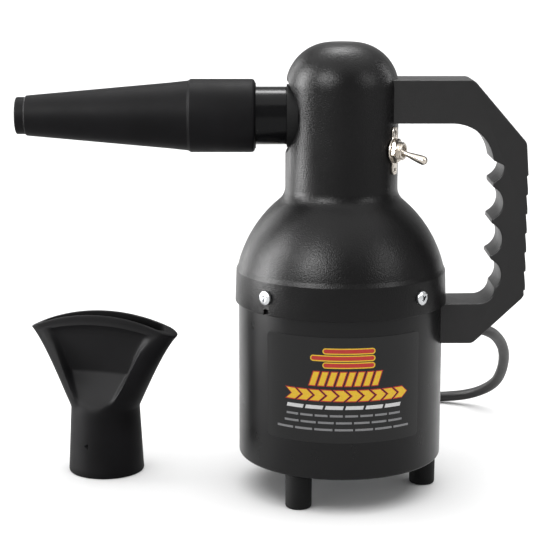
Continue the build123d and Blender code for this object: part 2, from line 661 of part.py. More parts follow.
def make_switch():
    """Toggle switch with its bushing, plate, washer, nuts and terminals, as separate pieces."""
    plate_out, washer_out, nut_out, end_out = washer_stack()
    body_out = -HOUSING_WALL - SWITCH_BODY_DEPTH_IN
    height, width, depth = SWITCH_BODY
    low = (Align.CENTER, Align.CENTER, Align.MIN)
    high = (Align.CENTER, Align.CENTER, Align.MAX)
    bushing = switch_plane(body_out) * Cylinder(BUSHING_R, BUSHING_OUT - body_out, align=low)
    round_edges = bushing.edges().filter_by(GeomType.CIRCLE)
    bushing = chamfer(round_edges.sort_by_distance(polar(9 * NECK_R, SWITCH_AZIMUTH, SWITCH_Z))[0], 0.6)
    bore_depth = BUSHING_OUT - LEVER_PIVOT_OUT + BUSHING_BORE_R + 0.4
    bushing -= switch_plane(BUSHING_OUT) * Cylinder(BUSHING_BORE_R, bore_depth, align=high)
    plate_outline = Circle(SWITCH_PLATE_RING_R) + RectangleRounded(SWITCH_PLATE_H, SWITCH_PLATE_LUG_W, 2.4)
    hexagon = RegularPolygon(SWITCH_NUT_AF / 2, 6, major_radius=False)
    body = switch_plane(body_out) * Box(height, width, depth, align=high)
    tabs = [
        switch_plane(body_out - depth) * (Pos(side * height / 3.2, 0, 0) * Box(0.8, 5, 8, align=high))
        for side in (-1, 1)
    ]
    return {
        "switch_body": body,
        "switch_terminals": Compound(tabs),
        "switch_bushing": bushing,
        "switch_plate": flat_ring(plate_outline, plate_out, SWITCH_PLATE_T),
        "switch_lock_washer": flat_ring(Circle(WASHER_R), washer_out, WASHER_T),
        "switch_nut": flat_ring(hexagon, nut_out, end_out - nut_out),
        "switch_inner_nut": flat_ring(hexagon, body_out, 1.8),
        "switch_lever": make_lever(),
    }


def make_lever():
    """Bat lever on a ball that turns in the bushing, leaning down at rest."""
    ball_r = BUSHING_BORE_R - LEVER_BALL_CLEARANCE
    profile = Polyline(
        (0, 0), (LEVER_NECK_R, 0), (LEVER_NECK_R, 6), (LEVER_TIP_R, LEVER_LENGTH - LEVER_TIP_R),
        (0, LEVER_LENGTH - LEVER_TIP_R), close=True,
    )
    bat = revolve(Plane.XZ * make_face(profile.edges()), Axis.Z)
    bat += Pos(0, 0, LEVER_LENGTH - LEVER_TIP_R) * Sphere(LEVER_TIP_R)
    lever = Sphere(ball_r) + bat
    return switch_plane(LEVER_PIVOT_OUT) * (Rot(0, -LEVER_TILT, 0) * lever)


# ---- intake, fan and motor -------------------------------------------------------------------------
def make_intake_plate():
    """Perforated steel plate over the can's intake opening."""
    plate = ring(INTAKE_PLATE_R, SCREW_R, CAN_FLOOR_Z, INTAKE_PLATE_T)
    rows = int((INTAKE_OPENING_R - 4) / INTAKE_HOLE_PITCH)
    holes = []
    for row in range(1, rows + 1):
        for step in range(6 * row):
            place = polar(row * INTAKE_HOLE_PITCH, step * 60 / row, CAN_FLOOR_Z)
            holes.append(Pos(*place) * Cylinder(INTAKE_HOLE_R, 4 * INTAKE_PLATE_T))
    for angle in FOOT_ANGLES:
        holes.append(Pos(*polar(FOOT_CIRCLE_R, angle, CAN_FLOOR_Z)) * Cylinder(SCREW_R + SCREW_CLEARANCE, 9))
    return plate - holes


def make_fan():
    """Fan shell, its cover with exhaust slots, and the rubber ring that holds it in the can."""
    low = (Align.CENTER, Align.CENTER, Align.MIN)
    shell = ring(FAN_SHELL_R, FAN_SHELL_R - FAN_SHELL_WALL, FAN_SHELL_Z, FAN_SHELL_H)
    shell += ring(FAN_SHELL_R, FAN_EYE_R, FAN_SHELL_Z, FAN_SHELL_WALL)
    cover = ring(FAN_SHELL_R, BEARING_R + 2, FAN_COVER_Z, FAN_COVER_T)
    cover += ring(BEARING_R + 2, BEARING_R, FAN_COVER_Z, BEARING_H)
    cover += ring(BEARING_R + 2, SHAFT_R + 2, FAN_COVER_Z, FAN_COVER_T / 2)
    cover -= Pos(0, 0, FAN_COVER_Z) * Cylinder(SHAFT_R + 2, 2 * BEARING_H, align=low)
    slot_pitch = 360 / EXHAUST_SLOTS
    slot = Pos(EXHAUST_SLOT_R, 0, FAN_COVER_Z) * Box(*EXHAUST_SLOT, 4 * FAN_COVER_T)
    for step in range(EXHAUST_SLOTS):
        cover -= Rot(0, 0, (step + 0.5) * slot_pitch) * slot
    hole_r = MOTOR_SCREW_R + SCREW_CLEARANCE
    for side in (-1, 1):
        cover -= Pos(0, side * MOTOR_SCREW_CIRCLE_R, FAN_COVER_Z) * Cylinder(hole_r, 20)
    gasket = ring(CAN_INNER_R, FAN_SHELL_R, FAN_SHELL_Z + 4, GASKET_H)
    return {"fan_shell": shell, "fan_cover": cover, "motor_gasket": gasket}


def make_impeller():
    """Closed impeller with curved blades, its hub clamped on the shaft."""
    top_z = IMPELLER_Z + IMPELLER_H
    wheel = ring(IMPELLER_R, SHAFT_R, top_z - IMPELLER_DISC_T, IMPELLER_DISC_T)
    wheel += ring(IMPELLER_R, FAN_EYE_R, IMPELLER_Z, IMPELLER_DISC_T)
    wheel += ring(SHAFT_R + IMPELLER_HUB_WALL, SHAFT_R, IMPELLER_Z, IMPELLER_H)
    blade_h = IMPELLER_H - IMPELLER_DISC_T
    for step in range(IMPELLER_BLADES):
        line = ThreePointArc((FAN_EYE_R, 0), BLADE_MIDDLE, (IMPELLER_R - 1, BLADE_END_Y))
        strip = extrude(trace(line, IMPELLER_DISC_T), blade_h)
        wheel += Rot(0, 0, step * 360 / IMPELLER_BLADES) * (Pos(0, 0, IMPELLER_Z) * strip)
    return wheel


def make_rotor():
    """Everything that turns: shaft, impeller with its nut, armature, windings and commutator."""
    low = (Align.CENTER, Align.CENTER, Align.MIN)
    shaft_z = IMPELLER_Z - 2
    shaft_top = BRACKET_Z + BRACKET_T + BEARING_H
    nut = extrude(RegularPolygon(IMPELLER_NUT_AF / 2, 6, major_radius=False), IMPELLER_NUT_H)
    nut = Pos(0, 0, IMPELLER_Z - IMPELLER_NUT_H) * nut
    core = ring(ARMATURE_R, SHAFT_R, STATOR_Z, STATOR_H)
    slot = Pos(ARMATURE_R, 0, STATOR_Z) * Box(*ARMATURE_SLOT, STATOR_H, align=low)
    for step in range(ARMATURE_SLOTS):
        core -= Rot(0, 0, step * 360 / ARMATURE_SLOTS) * slot
    windings = []
    for z in (STATOR_Z - WINDING_H, STATOR_TOP_Z):
        turn = ring(WINDING_R, SHAFT_R + 2, z, WINDING_H)
        rims = turn.edges().filter_by(GeomType.CIRCLE).filter_by(lambda e: e.radius > WINDING_R - 1)
        windings.append(fillet(rims, 2.5))
    commutator_z = BRUSH_Z - COMMUTATOR_H / 2
    commutator = ring(COMMUTATOR_R, SHAFT_R, commutator_z, COMMUTATOR_H)
    cut = Pos(COMMUTATOR_R, 0, commutator_z) * Box(*COMMUTATOR_CUT, COMMUTATOR_H, align=low)
    for step in range(COMMUTATOR_BARS):
        commutator -= Rot(0, 0, step * 360 / COMMUTATOR_BARS) * cut
    return {
        "motor_shaft": Pos(0, 0, shaft_z) * Cylinder(SHAFT_R, shaft_top - shaft_z, align=low),
        "impeller": make_impeller(),
        "impeller_nut": nut - Pos(0, 0, shaft_z) * Cylinder(SHAFT_R, 12, align=low),
        "armature_core": core,
        "armature_windings": Compound(windings),
        "commutator": commutator,
    }


def make_stator():
    """Laminated stator with two poles, and a coil round each pole."""
    yoke = ring(STATOR_R, STATOR_R - STATOR_YOKE, STATOR_Z, STATOR_H)
    inner_r = ARMATURE_R + AIR_GAP
    low = (Align.CENTER, Align.CENTER, Align.MIN)
    poles = Box(2 * (STATOR_R - STATOR_YOKE / 2), 2 * POLE_HALF_W, STATOR_H, align=low)
    core = yoke + Pos(0, 0, STATOR_Z) * poles - Pos(0, 0, STATOR_Z) * Cylinder(inner_r, 3 * STATOR_H)
    for side in (-1, 1):
        core -= Pos(0, side * MOTOR_SCREW_CIRCLE_R, STATOR_Z) * Cylinder(
            MOTOR_SCREW_R + SCREW_CLEARANCE, 3 * STATOR_H)
    coil = Box(COIL_DEPTH, 2 * (POLE_HALF_W + COIL_T), STATOR_H + 2 * COIL_T)
    coil -= Box(2 * COIL_DEPTH, 2 * POLE_HALF_W, STATOR_H)
    coil = fillet(coil.edges().filter_by(Axis.X).sort_by(lambda e: -abs(e.center().Y))[:4], 2.5)
    place_z = STATOR_Z + STATOR_H / 2
    coils = [Pos(side * (inner_r + COIL_DEPTH * 0.78), 0, place_z) * coil for side in (-1, 1)]
    return {"stator_core": core, "field_coils": Compound(coils)}


def make_brush_gear():
    """Brush plate with two brass holders, and in each a carbon brush and its spring."""
    plate_z = BRUSH_Z - BRUSH_H / 2 - 1
    plate = ring(STATOR_R, WINDING_R + 1, plate_z - 2, 2)
    brush_start = COMMUTATOR_R + BRUSH_CLEARANCE
    holders, brushes, springs = [], [], []
    for side in (-1, 1):
        plate -= Pos(0, side * MOTOR_SCREW_CIRCLE_R, plate_z) * Cylinder(SPACER_R + SCREW_CLEARANCE, 20)
        turn = Plane(origin=(0, 0, BRUSH_Z), x_dir=(1, 0, 0), z_dir=(0, side, 0))
        start = COMMUTATOR_R + 1.5
        outer = Rectangle(BRUSH_W + 2, BRUSH_H + 2) - Rectangle(BRUSH_W, BRUSH_H)
        tube = extrude(turn * outer, BRUSH_TUBE_END - start)
        tube += extrude(turn.offset(BRUSH_TUBE_END - start) * Rectangle(BRUSH_W + 2, BRUSH_H + 2), 1)
        holders.append(Pos(0, side * start, 0) * tube)
        brush = extrude(turn * Rectangle(BRUSH_W, BRUSH_H), BRUSH_LENGTH)
        brush = Pos(0, side * brush_start, 0) * brush - Pos(0, 0, BRUSH_Z) * Cylinder(brush_start, 20)
        brushes.append(brush)
        spring_start = brush_start + BRUSH_LENGTH
        springs.append(make_spring(turn.offset(spring_start), BRUSH_TUBE_END - spring_start))
    return {
        "brush_plate": plate,
        "brush_holders": Compound(holders),
        "carbon_brushes": Compound(brushes),
        "brush_springs": Compound(springs),
    }


def make_spring(plane, length):
    """Small compression spring that fills that length."""
    wire_r = 0.35
    coil_r = BRUSH_W / 2 - wire_r - 0.3
    helix = Helix(pitch=(length - 2 * wire_r) / 5, height=length - 2 * wire_r, radius=coil_r)
    section = Plane(origin=helix @ 0, z_dir=helix % 0) * Circle(wire_r)
    return plane.offset(wire_r) * sweep(section, path=helix)


def make_motor_frame():
    """Bearings, top bracket, spacers and the two long screws that hold the motor together."""
    low = (Align.CENTER, Align.CENTER, Align.MIN)
    bearing = ring(BEARING_R, SHAFT_R + RUNNING_CLEARANCE, 0, BEARING_H)
    bottom_z = FAN_COVER_Z + FAN_COVER_T / 2
    top_z = BRACKET_Z + BRACKET_T
    reach = 2 * (MOTOR_SCREW_CIRCLE_R + 5)
    bracket = Pos(0, 0, BRACKET_Z) * Box(16, reach, BRACKET_T, align=low)
    bracket += ring(BEARING_R + 2, BEARING_R, BRACKET_Z, BRACKET_T + BEARING_H)
    bracket += ring(BEARING_R + 2, SHAFT_R + 2, BRACKET_Z, BRACKET_T)
    bracket -= Pos(0, 0, BRACKET_Z) * Cylinder(SHAFT_R + 2, 40)
    bracket -= Pos(0, 0, top_z) * Cylinder(BEARING_R, BEARING_H, align=low)
    spacers, screws = [], []
    for side in (-1, 1):
        y = side * MOTOR_SCREW_CIRCLE_R
        hole = Pos(0, y, BRACKET_Z) * Cylinder(MOTOR_SCREW_R + SCREW_CLEARANCE, 20)
        bracket -= hole
        for low_z, high_z in ((FAN_COVER_Z + FAN_COVER_T, STATOR_Z), (STATOR_TOP_Z, BRACKET_Z)):
            sleeve = rod(SPACER_R, (0, y, low_z), (0, y, high_z))
            spacers.append(sleeve - rod(MOTOR_SCREW_R + SCREW_CLEARANCE, (0, y, low_z), (0, y, high_z)))
        place = Plane(origin=(0, y, top_z), z_dir=(0, 0, 1))
        screws.append(pan_screw(place, top_z - FAN_COVER_Z, shank_r=MOTOR_SCREW_R, head_r=3.2, head_h=2.2))
    return {
        "bearing_bottom": Pos(0, 0, bottom_z) * bearing,
        "bearing_top": Pos(0, 0, top_z) * bearing,
        "motor_bracket": bracket,
        "motor_spacers": Compound(spacers),
        "motor_screws": Compound(screws),
    }


# ---- cord ------------------------------------------------------------------------------------------
def bend_radii(points):
    """Arc for each corner of a route: 0.45 of the shorter run over the tangent of half the turn."""
    vectors = [Vector(*point) for point in points]
    radii = []
    for before, corner, after in zip(vectors, vectors[1:], vectors[2:]):
        turn = (corner - before).get_angle(after - corner)
        shorter = min((corner - before).length, (after - corner).length)
        radii.append(0.45 * shorter / math.tan(math.radians(turn) / 2))
    return radii


def cord_tube(points, name):
    """Round tube along straight runs joined by tangent arcs."""
    radii = bend_radii(points)
    print(name, "bend radii", [round(radius, 1) for radius in radii])
    path = FilletPolyline(*points, radius=radii)
    section = Plane(origin=path @ 0, z_dir=path % 0) * Circle(CORD_R)
    tube = sweep(section, path=path)
    full_volume = path.length * math.pi * CORD_R ** 2
    print(name, "length", round(path.length, 1), "volume ratio", round(tube.volume / full_volume, 4))
    return tube


def relief_plane(out):
    """Plane across the strain relief's drooping axis, that far from the can's wall."""
    flat, down = math.cos(math.radians(CORD_DROOP)), math.sin(math.radians(CORD_DROOP))
    axis = polar(flat, CORD_EXIT_AZIMUTH, -down)
    return Plane(origin=polar(CAN_R, CORD_EXIT_AZIMUTH, CORD_EXIT_Z) + axis * out, z_dir=axis)


def make_strain_relief():
    """Tapered rubber sleeve with a flange outside the can."""
    low = (Align.CENTER, Align.CENTER, Align.MIN)
    wall_plane = radial_plane(CAN_R, CORD_EXIT_AZIMUTH, CORD_EXIT_Z)
    flange = wall_plane * (Pos(0, 0, -2) * Cylinder(RELIEF_FLANGE_R, RELIEF_FLANGE_T + 2, align=low))
    sleeve = relief_plane(0) * Cone(RELIEF_ROOT_R, RELIEF_TIP_R, RELIEF_LENGTH, align=low)
    outside = flange + sleeve - Pos(0, 0, FOOT_H) * Cylinder(CAN_R, CORD_EXIT_Z, align=low)
    stub = wall_plane * (Pos(0, 0, -2 * CAN_WALL) * Cylinder(CORD_R, 3 * CAN_WALL, align=low))
    return outside + stub


def make_cord():
    """Cord from the strain relief to the coil, the coil in its tie, and the tail to the plug."""
    relief_tip = relief_plane(RELIEF_LENGTH).origin
    lead_out = relief_plane(RELIEF_LENGTH + CORD_LEAD_OUT).origin
    route = [tuple(relief_tip), tuple(lead_out)] + CORD_ROUTE
    half_w = COIL_SECTION_W / 2
    x, y = COIL_CENTRE
    coil = Pos(x, y, 0) * ring(COIL_MID_R + half_w, COIL_MID_R - half_w, TIE_T, COIL_SECTION_H)
    coil = fillet(coil.edges().filter_by(GeomType.CIRCLE), CORD_R * 0.8)
    outer = Box(COIL_SECTION_W + 2 * TIE_T, TIE_W, COIL_SECTION_H + 2 * TIE_T)
    tie = Pos(x - COIL_MID_R, y, TIE_T + COIL_SECTION_H / 2) * outer - coil
    tie = Compound([max(tie.solids(), key=lambda s: s.volume)])
    end = Vector(*TAIL_ROUTE[-1])
    plug = Pos(end.X - PLUG_LENGTH / 2, end.Y, PLUG_H / 2) * Box(PLUG_LENGTH, PLUG_W, PLUG_H)
    plug = fillet(plug.edges(), PLUG_EDGE_R)
    blade_l, blade_t, blade_h = PLUG_BLADE
    blade_x = end.X - PLUG_LENGTH
    blades = [
        Pos(blade_x - blade_l / 2, end.Y + side * PLUG_BLADE_HALF_GAP, PLUG_H / 2 + PLUG_BLADE_RISE)
        * Box(blade_l, blade_t, blade_h)
        for side in (-1, 1)
    ]
    earth_z = PLUG_H / 2 - PLUG_EARTH_DROP
    blades.append(rod(PLUG_EARTH_R, (blade_x, end.Y, earth_z), (blade_x - blade_l - 3, end.Y, earth_z)))
    return {
        "strain_relief": make_strain_relief(),
        "cord_tube": cord_tube(route, "cord_tube"),
        "cord_coil": coil,
        "cord_tie": tie,
        "cord_tail": cord_tube(TAIL_ROUTE, "cord_tail"),
        "plug_body": plug,
        "plug_blades": Compound(blades),
    }


def make_leads():
    """Insulated leads from the cord's entry to the switch, and from the switch to a brush holder."""
    back = NECK_R - HOUSING_WALL - SWITCH_BODY_DEPTH_IN - SWITCH_BODY[2] - LEAD_STAND_OFF
    entry = polar(CAN_INNER_R - 3, CORD_EXIT_AZIMUTH, CORD_EXIT_Z)
    terminal_low = polar(back, SWITCH_AZIMUTH, SWITCH_Z - LEAD_SPREAD)
    terminal_high = polar(back, SWITCH_AZIMUTH, SWITCH_Z + LEAD_SPREAD)
    supply = [tuple(entry)] + SUPPLY_LEAD_ROUTE + [tuple(terminal_high)]
    feed = [tuple(terminal_low)] + FEED_LEAD_ROUTE + [(0.0, BRUSH_TUBE_END + 5, BRACKET_Z + 8)]
    leads = []
    for points in (supply, feed):
        path = FilletPolyline(*points, radius=LEAD_BEND_R)
        section = Plane(origin=path @ 0, z_dir=path % 0) * Circle(LEAD_R)
        leads.append(sweep(section, path=path))
    return Compound(leads)


def make_all():
    """Every piece of the blower, by name."""
    pieces = {
        "motor_can": make_can(),
        "upper_housing": make_upper_housing(),
        "nameplate": make_label(),
        "foot_screws": make_foot_screws(),
        "foot_nuts": make_foot_nuts(),
        "lip_screws": make_lip_screws(),
        "outlet_tube": make_outlet_tube(),
        "outlet_flange": make_outlet_flange(),
        "nozzle": make_nozzle(),
        "flare_nozzle": make_flare_nozzle(),
        "handle": make_handle(),
        "handle_screws": make_handle_screws(),
        "intake_plate": make_intake_plate(),
        "filter_foam": ring(FOAM_R, 3, CAN_FLOOR_Z + INTAKE_PLATE_T, FOAM_T),
        "lead_wires": make_leads(),
    }
    for number, angle in enumerate(FOOT_ANGLES, start=1):
        pieces[f"foot_{number}"] = make_foot(angle)
    pieces.update(make_switch() | make_fan() | make_rotor() | make_stator() | make_brush_gear())
    pieces.update(make_motor_frame() | make_cord())
    return pieces


os.makedirs("parts", exist_ok=True)
for name, shape in make_all().items():
    export_step(Pos(CAN_X, 0, 0) * shape, f"parts/{name}.step")
print("can axis at X", round(CAN_X, 3))
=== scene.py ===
"""Looks of a hand-held car dryer blower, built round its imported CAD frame."""

from __future__ import annotations

import json
import logging
import math
from collections.abc import Iterator, Sequence
from contextlib import contextmanager
from dataclasses import dataclass, field
from enum import Enum

import bpy
from mathutils import Matrix, Vector

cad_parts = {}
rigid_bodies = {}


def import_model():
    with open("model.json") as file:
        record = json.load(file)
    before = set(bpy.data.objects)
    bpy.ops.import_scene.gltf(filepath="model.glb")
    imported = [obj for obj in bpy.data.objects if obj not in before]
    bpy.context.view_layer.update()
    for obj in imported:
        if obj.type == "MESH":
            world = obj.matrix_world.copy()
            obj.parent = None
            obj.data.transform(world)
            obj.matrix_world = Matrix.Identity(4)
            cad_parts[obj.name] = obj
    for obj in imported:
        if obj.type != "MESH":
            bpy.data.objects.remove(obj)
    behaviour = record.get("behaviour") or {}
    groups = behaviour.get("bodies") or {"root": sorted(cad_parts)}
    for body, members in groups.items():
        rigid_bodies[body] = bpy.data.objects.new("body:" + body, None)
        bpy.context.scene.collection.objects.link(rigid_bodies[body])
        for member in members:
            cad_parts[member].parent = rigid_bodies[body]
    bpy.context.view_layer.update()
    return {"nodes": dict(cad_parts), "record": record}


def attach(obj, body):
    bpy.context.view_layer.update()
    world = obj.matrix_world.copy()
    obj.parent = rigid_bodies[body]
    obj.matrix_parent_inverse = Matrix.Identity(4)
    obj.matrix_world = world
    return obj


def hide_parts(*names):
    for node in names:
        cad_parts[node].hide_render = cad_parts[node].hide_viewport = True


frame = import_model()

logging.basicConfig(level=logging.INFO, format="%(name)s: %(message)s")
LOG = logging.getLogger("blower")

# Pieces are modelled in millimetres about the motor can's axis, and then set in the frame in metres.
METRE = 0.001
CAN_AXIS_X = 46.3

Pair = tuple[float, float]
Triple = tuple[float, float, float]
Colour = tuple[float, float, float, float]


# ---- shader maths ----------------------------------------------------------------------------------
class Signal:
    """A node's output, on which Python's arithmetic adds Math nodes."""

    def __init__(self, shader: Shader, socket: bpy.types.NodeSocket) -> None:
        """Keeps the shader that the socket belongs to."""
        self.shader = shader
        self.socket = socket

    def maths(self, operation: str, *terms: Signal | float) -> Signal:
        """Adds one Math node.

        Args:
            operation: Blender's name of the operation.
            terms: what goes into the node, in order.

        Returns:
            The node's value.
        """
        return self.shader.node("ShaderNodeMath", {"operation": operation}, dict(enumerate(terms)))

    def __add__(self, other: Signal | float) -> Signal:
        """Sum."""
        return self.maths("ADD", self, other)

    def __radd__(self, other: float) -> Signal:
        """Sum with a number on the left."""
        return self.maths("ADD", other, self)

    def __sub__(self, other: Signal | float) -> Signal:
        """Difference."""
        return self.maths("SUBTRACT", self, other)

    def __rsub__(self, other: float) -> Signal:
        """Difference from a number."""
        return self.maths("SUBTRACT", other, self)

    def __mul__(self, other: Signal | float) -> Signal:
        """Product."""
        return self.maths("MULTIPLY", self, other)

    def __rmul__(self, other: float) -> Signal:
        """Product with a number on the left."""
        return self.maths("MULTIPLY", other, self)

    def __truediv__(self, other: Signal | float) -> Signal:
        """Quotient."""
        return self.maths("DIVIDE", self, other)

    def __mod__(self, other: float) -> Signal:
        """What is left of this value past whole steps of another, never negative."""
        return self.maths("FLOORED_MODULO", self, other)

    def __abs__(self) -> Signal:
        """Size without sign."""
        return self.maths("ABSOLUTE", self)

    def sine(self) -> Signal:
        """Sine of an angle in radians."""
        return self.maths("SINE", self)

    def limited(self, low: float = 0.0, high: float = 1.0) -> Signal:
        """Value held between two numbers."""
        return self.maths("MINIMUM", self.maths("MAXIMUM", self, low), high)

    def above(self, level: Signal | float, soft: float) -> Signal:
        """Mask that is 1 where this value passes a level, with an edge that soft."""
        return ((self - level) / soft + 0.5).limited()

    def between(self, low: Signal | float, high: Signal | float, soft: float) -> Signal:
        """Mask that is 1 between two levels.

        Args:
            low: lower level.
            high: upper level.
            soft: width of the mask's edges.

        Returns:
            The mask.
        """
        return self.above(low, soft) * (1.0 - self.above(high, soft))


class Shader:
    """One material's node tree, with its surface shader ready."""

    def __init__(self, name: str) -> None:
        """Starts a material with a Principled surface.

        Args:
            name: the material's name.
        """
        self.material = bpy.data.materials.new(name)
        self.material.use_nodes = True
        self.tree = self.material.node_tree
        self.tree.nodes.clear()
        self.surface = self.tree.nodes.new("ShaderNodeBsdfPrincipled")
        output = self.tree.nodes.new("ShaderNodeOutputMaterial")
        self.tree.links.new(self.surface.outputs["BSDF"], output.inputs["Surface"])

    def feed(self, socket: bpy.types.NodeSocket, value: Signal | float | Sequence[float]) -> None:
        """Sets a socket's value or links it.

        Args:
            socket: the socket.
            value: a number, a colour or another node's output.
        """
        if isinstance(value, Signal):
            self.tree.links.new(value.socket, socket)
        else:
            socket.default_value = value

    def node(
        self,
        kind: str,
        settings: dict[str, object] | None = None,
        inputs: dict[str | int, Signal | float | Sequence[float]] | None = None,
        output: str | int = 0,
    ) -> Signal:
        """Adds any node.

        Args:
            kind: Blender's node type.
            settings: the node's own settings, and for a ramp its stops.
            inputs: a value or a link for each socket, by its name, identifier or place.
            output: name or place of the output that is wanted.

        Returns:
            That output.
        """
        node = self.tree.nodes.new(kind)
        for key, value in (settings or {}).items():
            if key == "stops":
                ramp = node.color_ramp
                while len(ramp.elements) < len(value):
                    ramp.elements.new(0.5)
                for element, (position, colour) in zip(ramp.elements, value):
                    element.position = position
                    element.color = colour
            else:
                setattr(node, key, value)
        named = {socket.identifier: socket for socket in node.inputs}
        for key, value in (inputs or {}).items():
            socket = node.inputs[key] if isinstance(key, int) else named.get(key) or node.inputs[key]
            self.feed(socket, value)
        found = {socket.identifier: socket for socket in node.outputs}
        return Signal(self, node.outputs[output] if isinstance(output, int) else found[output])

    def place(self, stretch: Triple = (1.0, 1.0, 1.0)) -> Signal:
        """Place on the piece in millimetres, each axis multiplied by a stretch.

        Args:
            stretch: what each axis is multiplied by.

        Returns:
            The place.
        """
        point = self.node("ShaderNodeTexCoord", output="Object")
        scale = tuple(part / METRE for part in stretch)
        return self.node("ShaderNodeMapping", inputs={"Vector": point, "Scale": scale})

    def noise(self, size: float, detail: float = 2.0, stretch: Triple = (1.0, 1.0, 1.0)) -> Signal:
        """Soft random value from 0 to 1.

        Args:
            size: distance between its lumps in millimetres.
            detail: how many finer layers it has.
            stretch: how much faster it changes along each axis.

        Returns:
            The value.
        """
        inputs = {"Vector": self.place(stretch), "Scale": 1.0 / size, "Detail": detail}
        return self.node("ShaderNodeTexNoise", inputs=inputs)

    def blend(self, mask: Signal, low: Signal | Sequence[float], high: Signal | Sequence[float]) -> Signal:
        """Colour that goes from one to another with a mask."""
        inputs = {"Factor_Float": mask, "A_Color": low, "B_Color": high}
        return self.node("ShaderNodeMix", {"data_type": "RGBA"}, inputs, "Result_Color")

    def raise_surface(self, height: Signal, depth: float) -> None:
        """Feeds a height from 0 to 1 to the surface as a bump that many millimetres deep."""
        bump = self.node("ShaderNodeBump", inputs={"Height": height, "Distance": depth * METRE})
        self.feed(self.surface.inputs["Normal"], bump)


# ---- finishes --------------------------------------------------------------------------------------
@dataclass(frozen=True)
class Finish:
    """A surface with soft changes of shade and gloss, and a fine grain."""

    name: str
    colour: Triple
    roughness: float
    metallic: float = 0.0
    coat: float = 0.0
    shine: float = 0.3
    cloud_size: float = 18.0
    shade_change: float = 0.25
    gloss_change: float = 0.08
    grain_size: float = 0.6
    grain_depth: float = 0.02

    def tint(self, share: float) -> Colour:
        """The finish's colour, lighter or darker by a share."""
        return tuple(min(1.0, part * share) for part in self.colour) + (1.0,)

    def shades(self) -> tuple[Colour, Colour]:
        """The darkest and the lightest shade of the finish."""
        return self.tint(1.0 - self.shade_change), self.tint(1.0 + self.shade_change)

    def base(self, shader: Shader) -> Signal:
        """Colour over the surface."""
        low, high = self.shades()
        return shader.blend(shader.noise(self.cloud_size, 3.0), low, high)

    def gloss(self, shader: Shader) -> Signal:
        """Roughness over the surface."""
        return (shader.noise(self.cloud_size * 0.37, 4.0) - 0.5) * (2 * self.gloss_change) + self.roughness

    def height(self, shader: Shader) -> Signal:
        """Relief of the surface, from 0 to 1."""
        return shader.noise(self.grain_size, 2.0)

    def material(self) -> bpy.types.Material:
        """Makes the material, or finds the one made before.

        Returns:
            The material.
        """
        known = bpy.data.materials.get(f"{self.name}_finish")
        if known:
            return known
        shader = Shader(f"{self.name}_finish")
        shader.feed(shader.surface.inputs["Base Color"], self.base(shader))
        shader.feed(shader.surface.inputs["Roughness"], self.gloss(shader))
        shader.surface.inputs["Metallic"].default_value = self.metallic
        shader.surface.inputs["Specular IOR Level"].default_value = self.shine
        shader.surface.inputs["Coat Weight"].default_value = self.coat
        shader.surface.inputs["Coat Roughness"].default_value = 0.08
        shader.raise_surface(self.height(shader), self.grain_depth)
        shader.material.diffuse_color = self.tint(1.0)
        return shader.material


@dataclass(frozen=True)
class PowderCoat(Finish):
    """Baked powder: rounded grains on a soft orange peel, a little glossier on the grains."""

    def height(self, shader: Shader) -> Signal:
        """Grains over orange peel."""
        grains = shader.noise(self.grain_size, 1.0)
        return grains.between(0.42, 1.1, 0.4) * 0.7 + shader.noise(self.grain_size * 3.4, 1.0) * 0.5


@dataclass(frozen=True)
class SpunPaint(Finish):
    """Sprayed paint over spun steel: faint lines round the piece under a thin orange peel."""

    def height(self, shader: Shader) -> Signal:
        """Spin lines and orange peel."""
        lines = shader.noise(0.9, 2.0, (0.02, 0.02, 1.0))
        return lines * 0.35 + shader.noise(self.grain_size, 1.0) * 0.65


@dataclass(frozen=True)
class Rubber(Finish):
    """Moulded rubber: cloudy bloom, fine pores and soft flow marks."""

    def base(self, shader: Shader) -> Signal:
        """Colour with a pale bloom in patches.

        Args:
            shader: the material being made.

        Returns:
            The colour.
        """
        bloom = shader.noise(self.cloud_size, 4.0).above(0.55, 0.35)
        low, high = self.shades()
        return shader.blend(bloom, low, high)

    def height(self, shader: Shader) -> Signal:
        """Pores and flow marks."""
        return shader.noise(self.grain_size, 2.0) * 0.5 + shader.noise(self.grain_size * 9.0, 2.0) * 0.8


@dataclass(frozen=True)
class Moulding(Finish):
    """Moulded plastic with the even grain of a spark-eroded mould."""

    def height(self, shader: Shader) -> Signal:
        """Two sizes of grain."""
        coarse = shader.noise(self.grain_size, 1.0).between(0.46, 1.2, 0.22)
        return coarse * 0.7 + shader.noise(self.grain_size * 0.45, 1.0) * 0.3


@dataclass(frozen=True)
class Metal(Finish):
    """Plated or bare metal with fine scratches along one axis."""

    metallic: float = 1.0
    scratch_along: Triple = (1.0, 1.0, 0.05)

    def gloss(self, shader: Shader) -> Signal:
        """Roughness with duller streaks and finger marks.

        Args:
            shader: the material being made.

        Returns:
            The roughness.
        """
        streaks = shader.noise(0.35, 2.0, self.scratch_along)
        marks = shader.noise(6.0, 3.0) * self.gloss_change * 0.6
        return self.roughness + (streaks - 0.5) * self.gloss_change + marks

    def height(self, shader: Shader) -> Signal:
        """Scratches."""
        return shader.noise(self.grain_size, 2.0, self.scratch_along)


@dataclass(frozen=True)
class Wound(Finish):
    """Enamelled wire wound side by side."""

    wire: float = 0.7

    def height(self, shader: Shader) -> Signal:
        """Round backs of the wires, with a slight wander.

        Args:
            shader: the material being made.

        Returns:
            The relief.
        """
        place = shader.node("ShaderNodeSeparateXYZ", inputs={"Vector": shader.place()}, output="Z")
        turn = (place + shader.noise(4.0, 1.0) * 0.5) * (math.pi / self.wire)
        return abs(turn.sine())


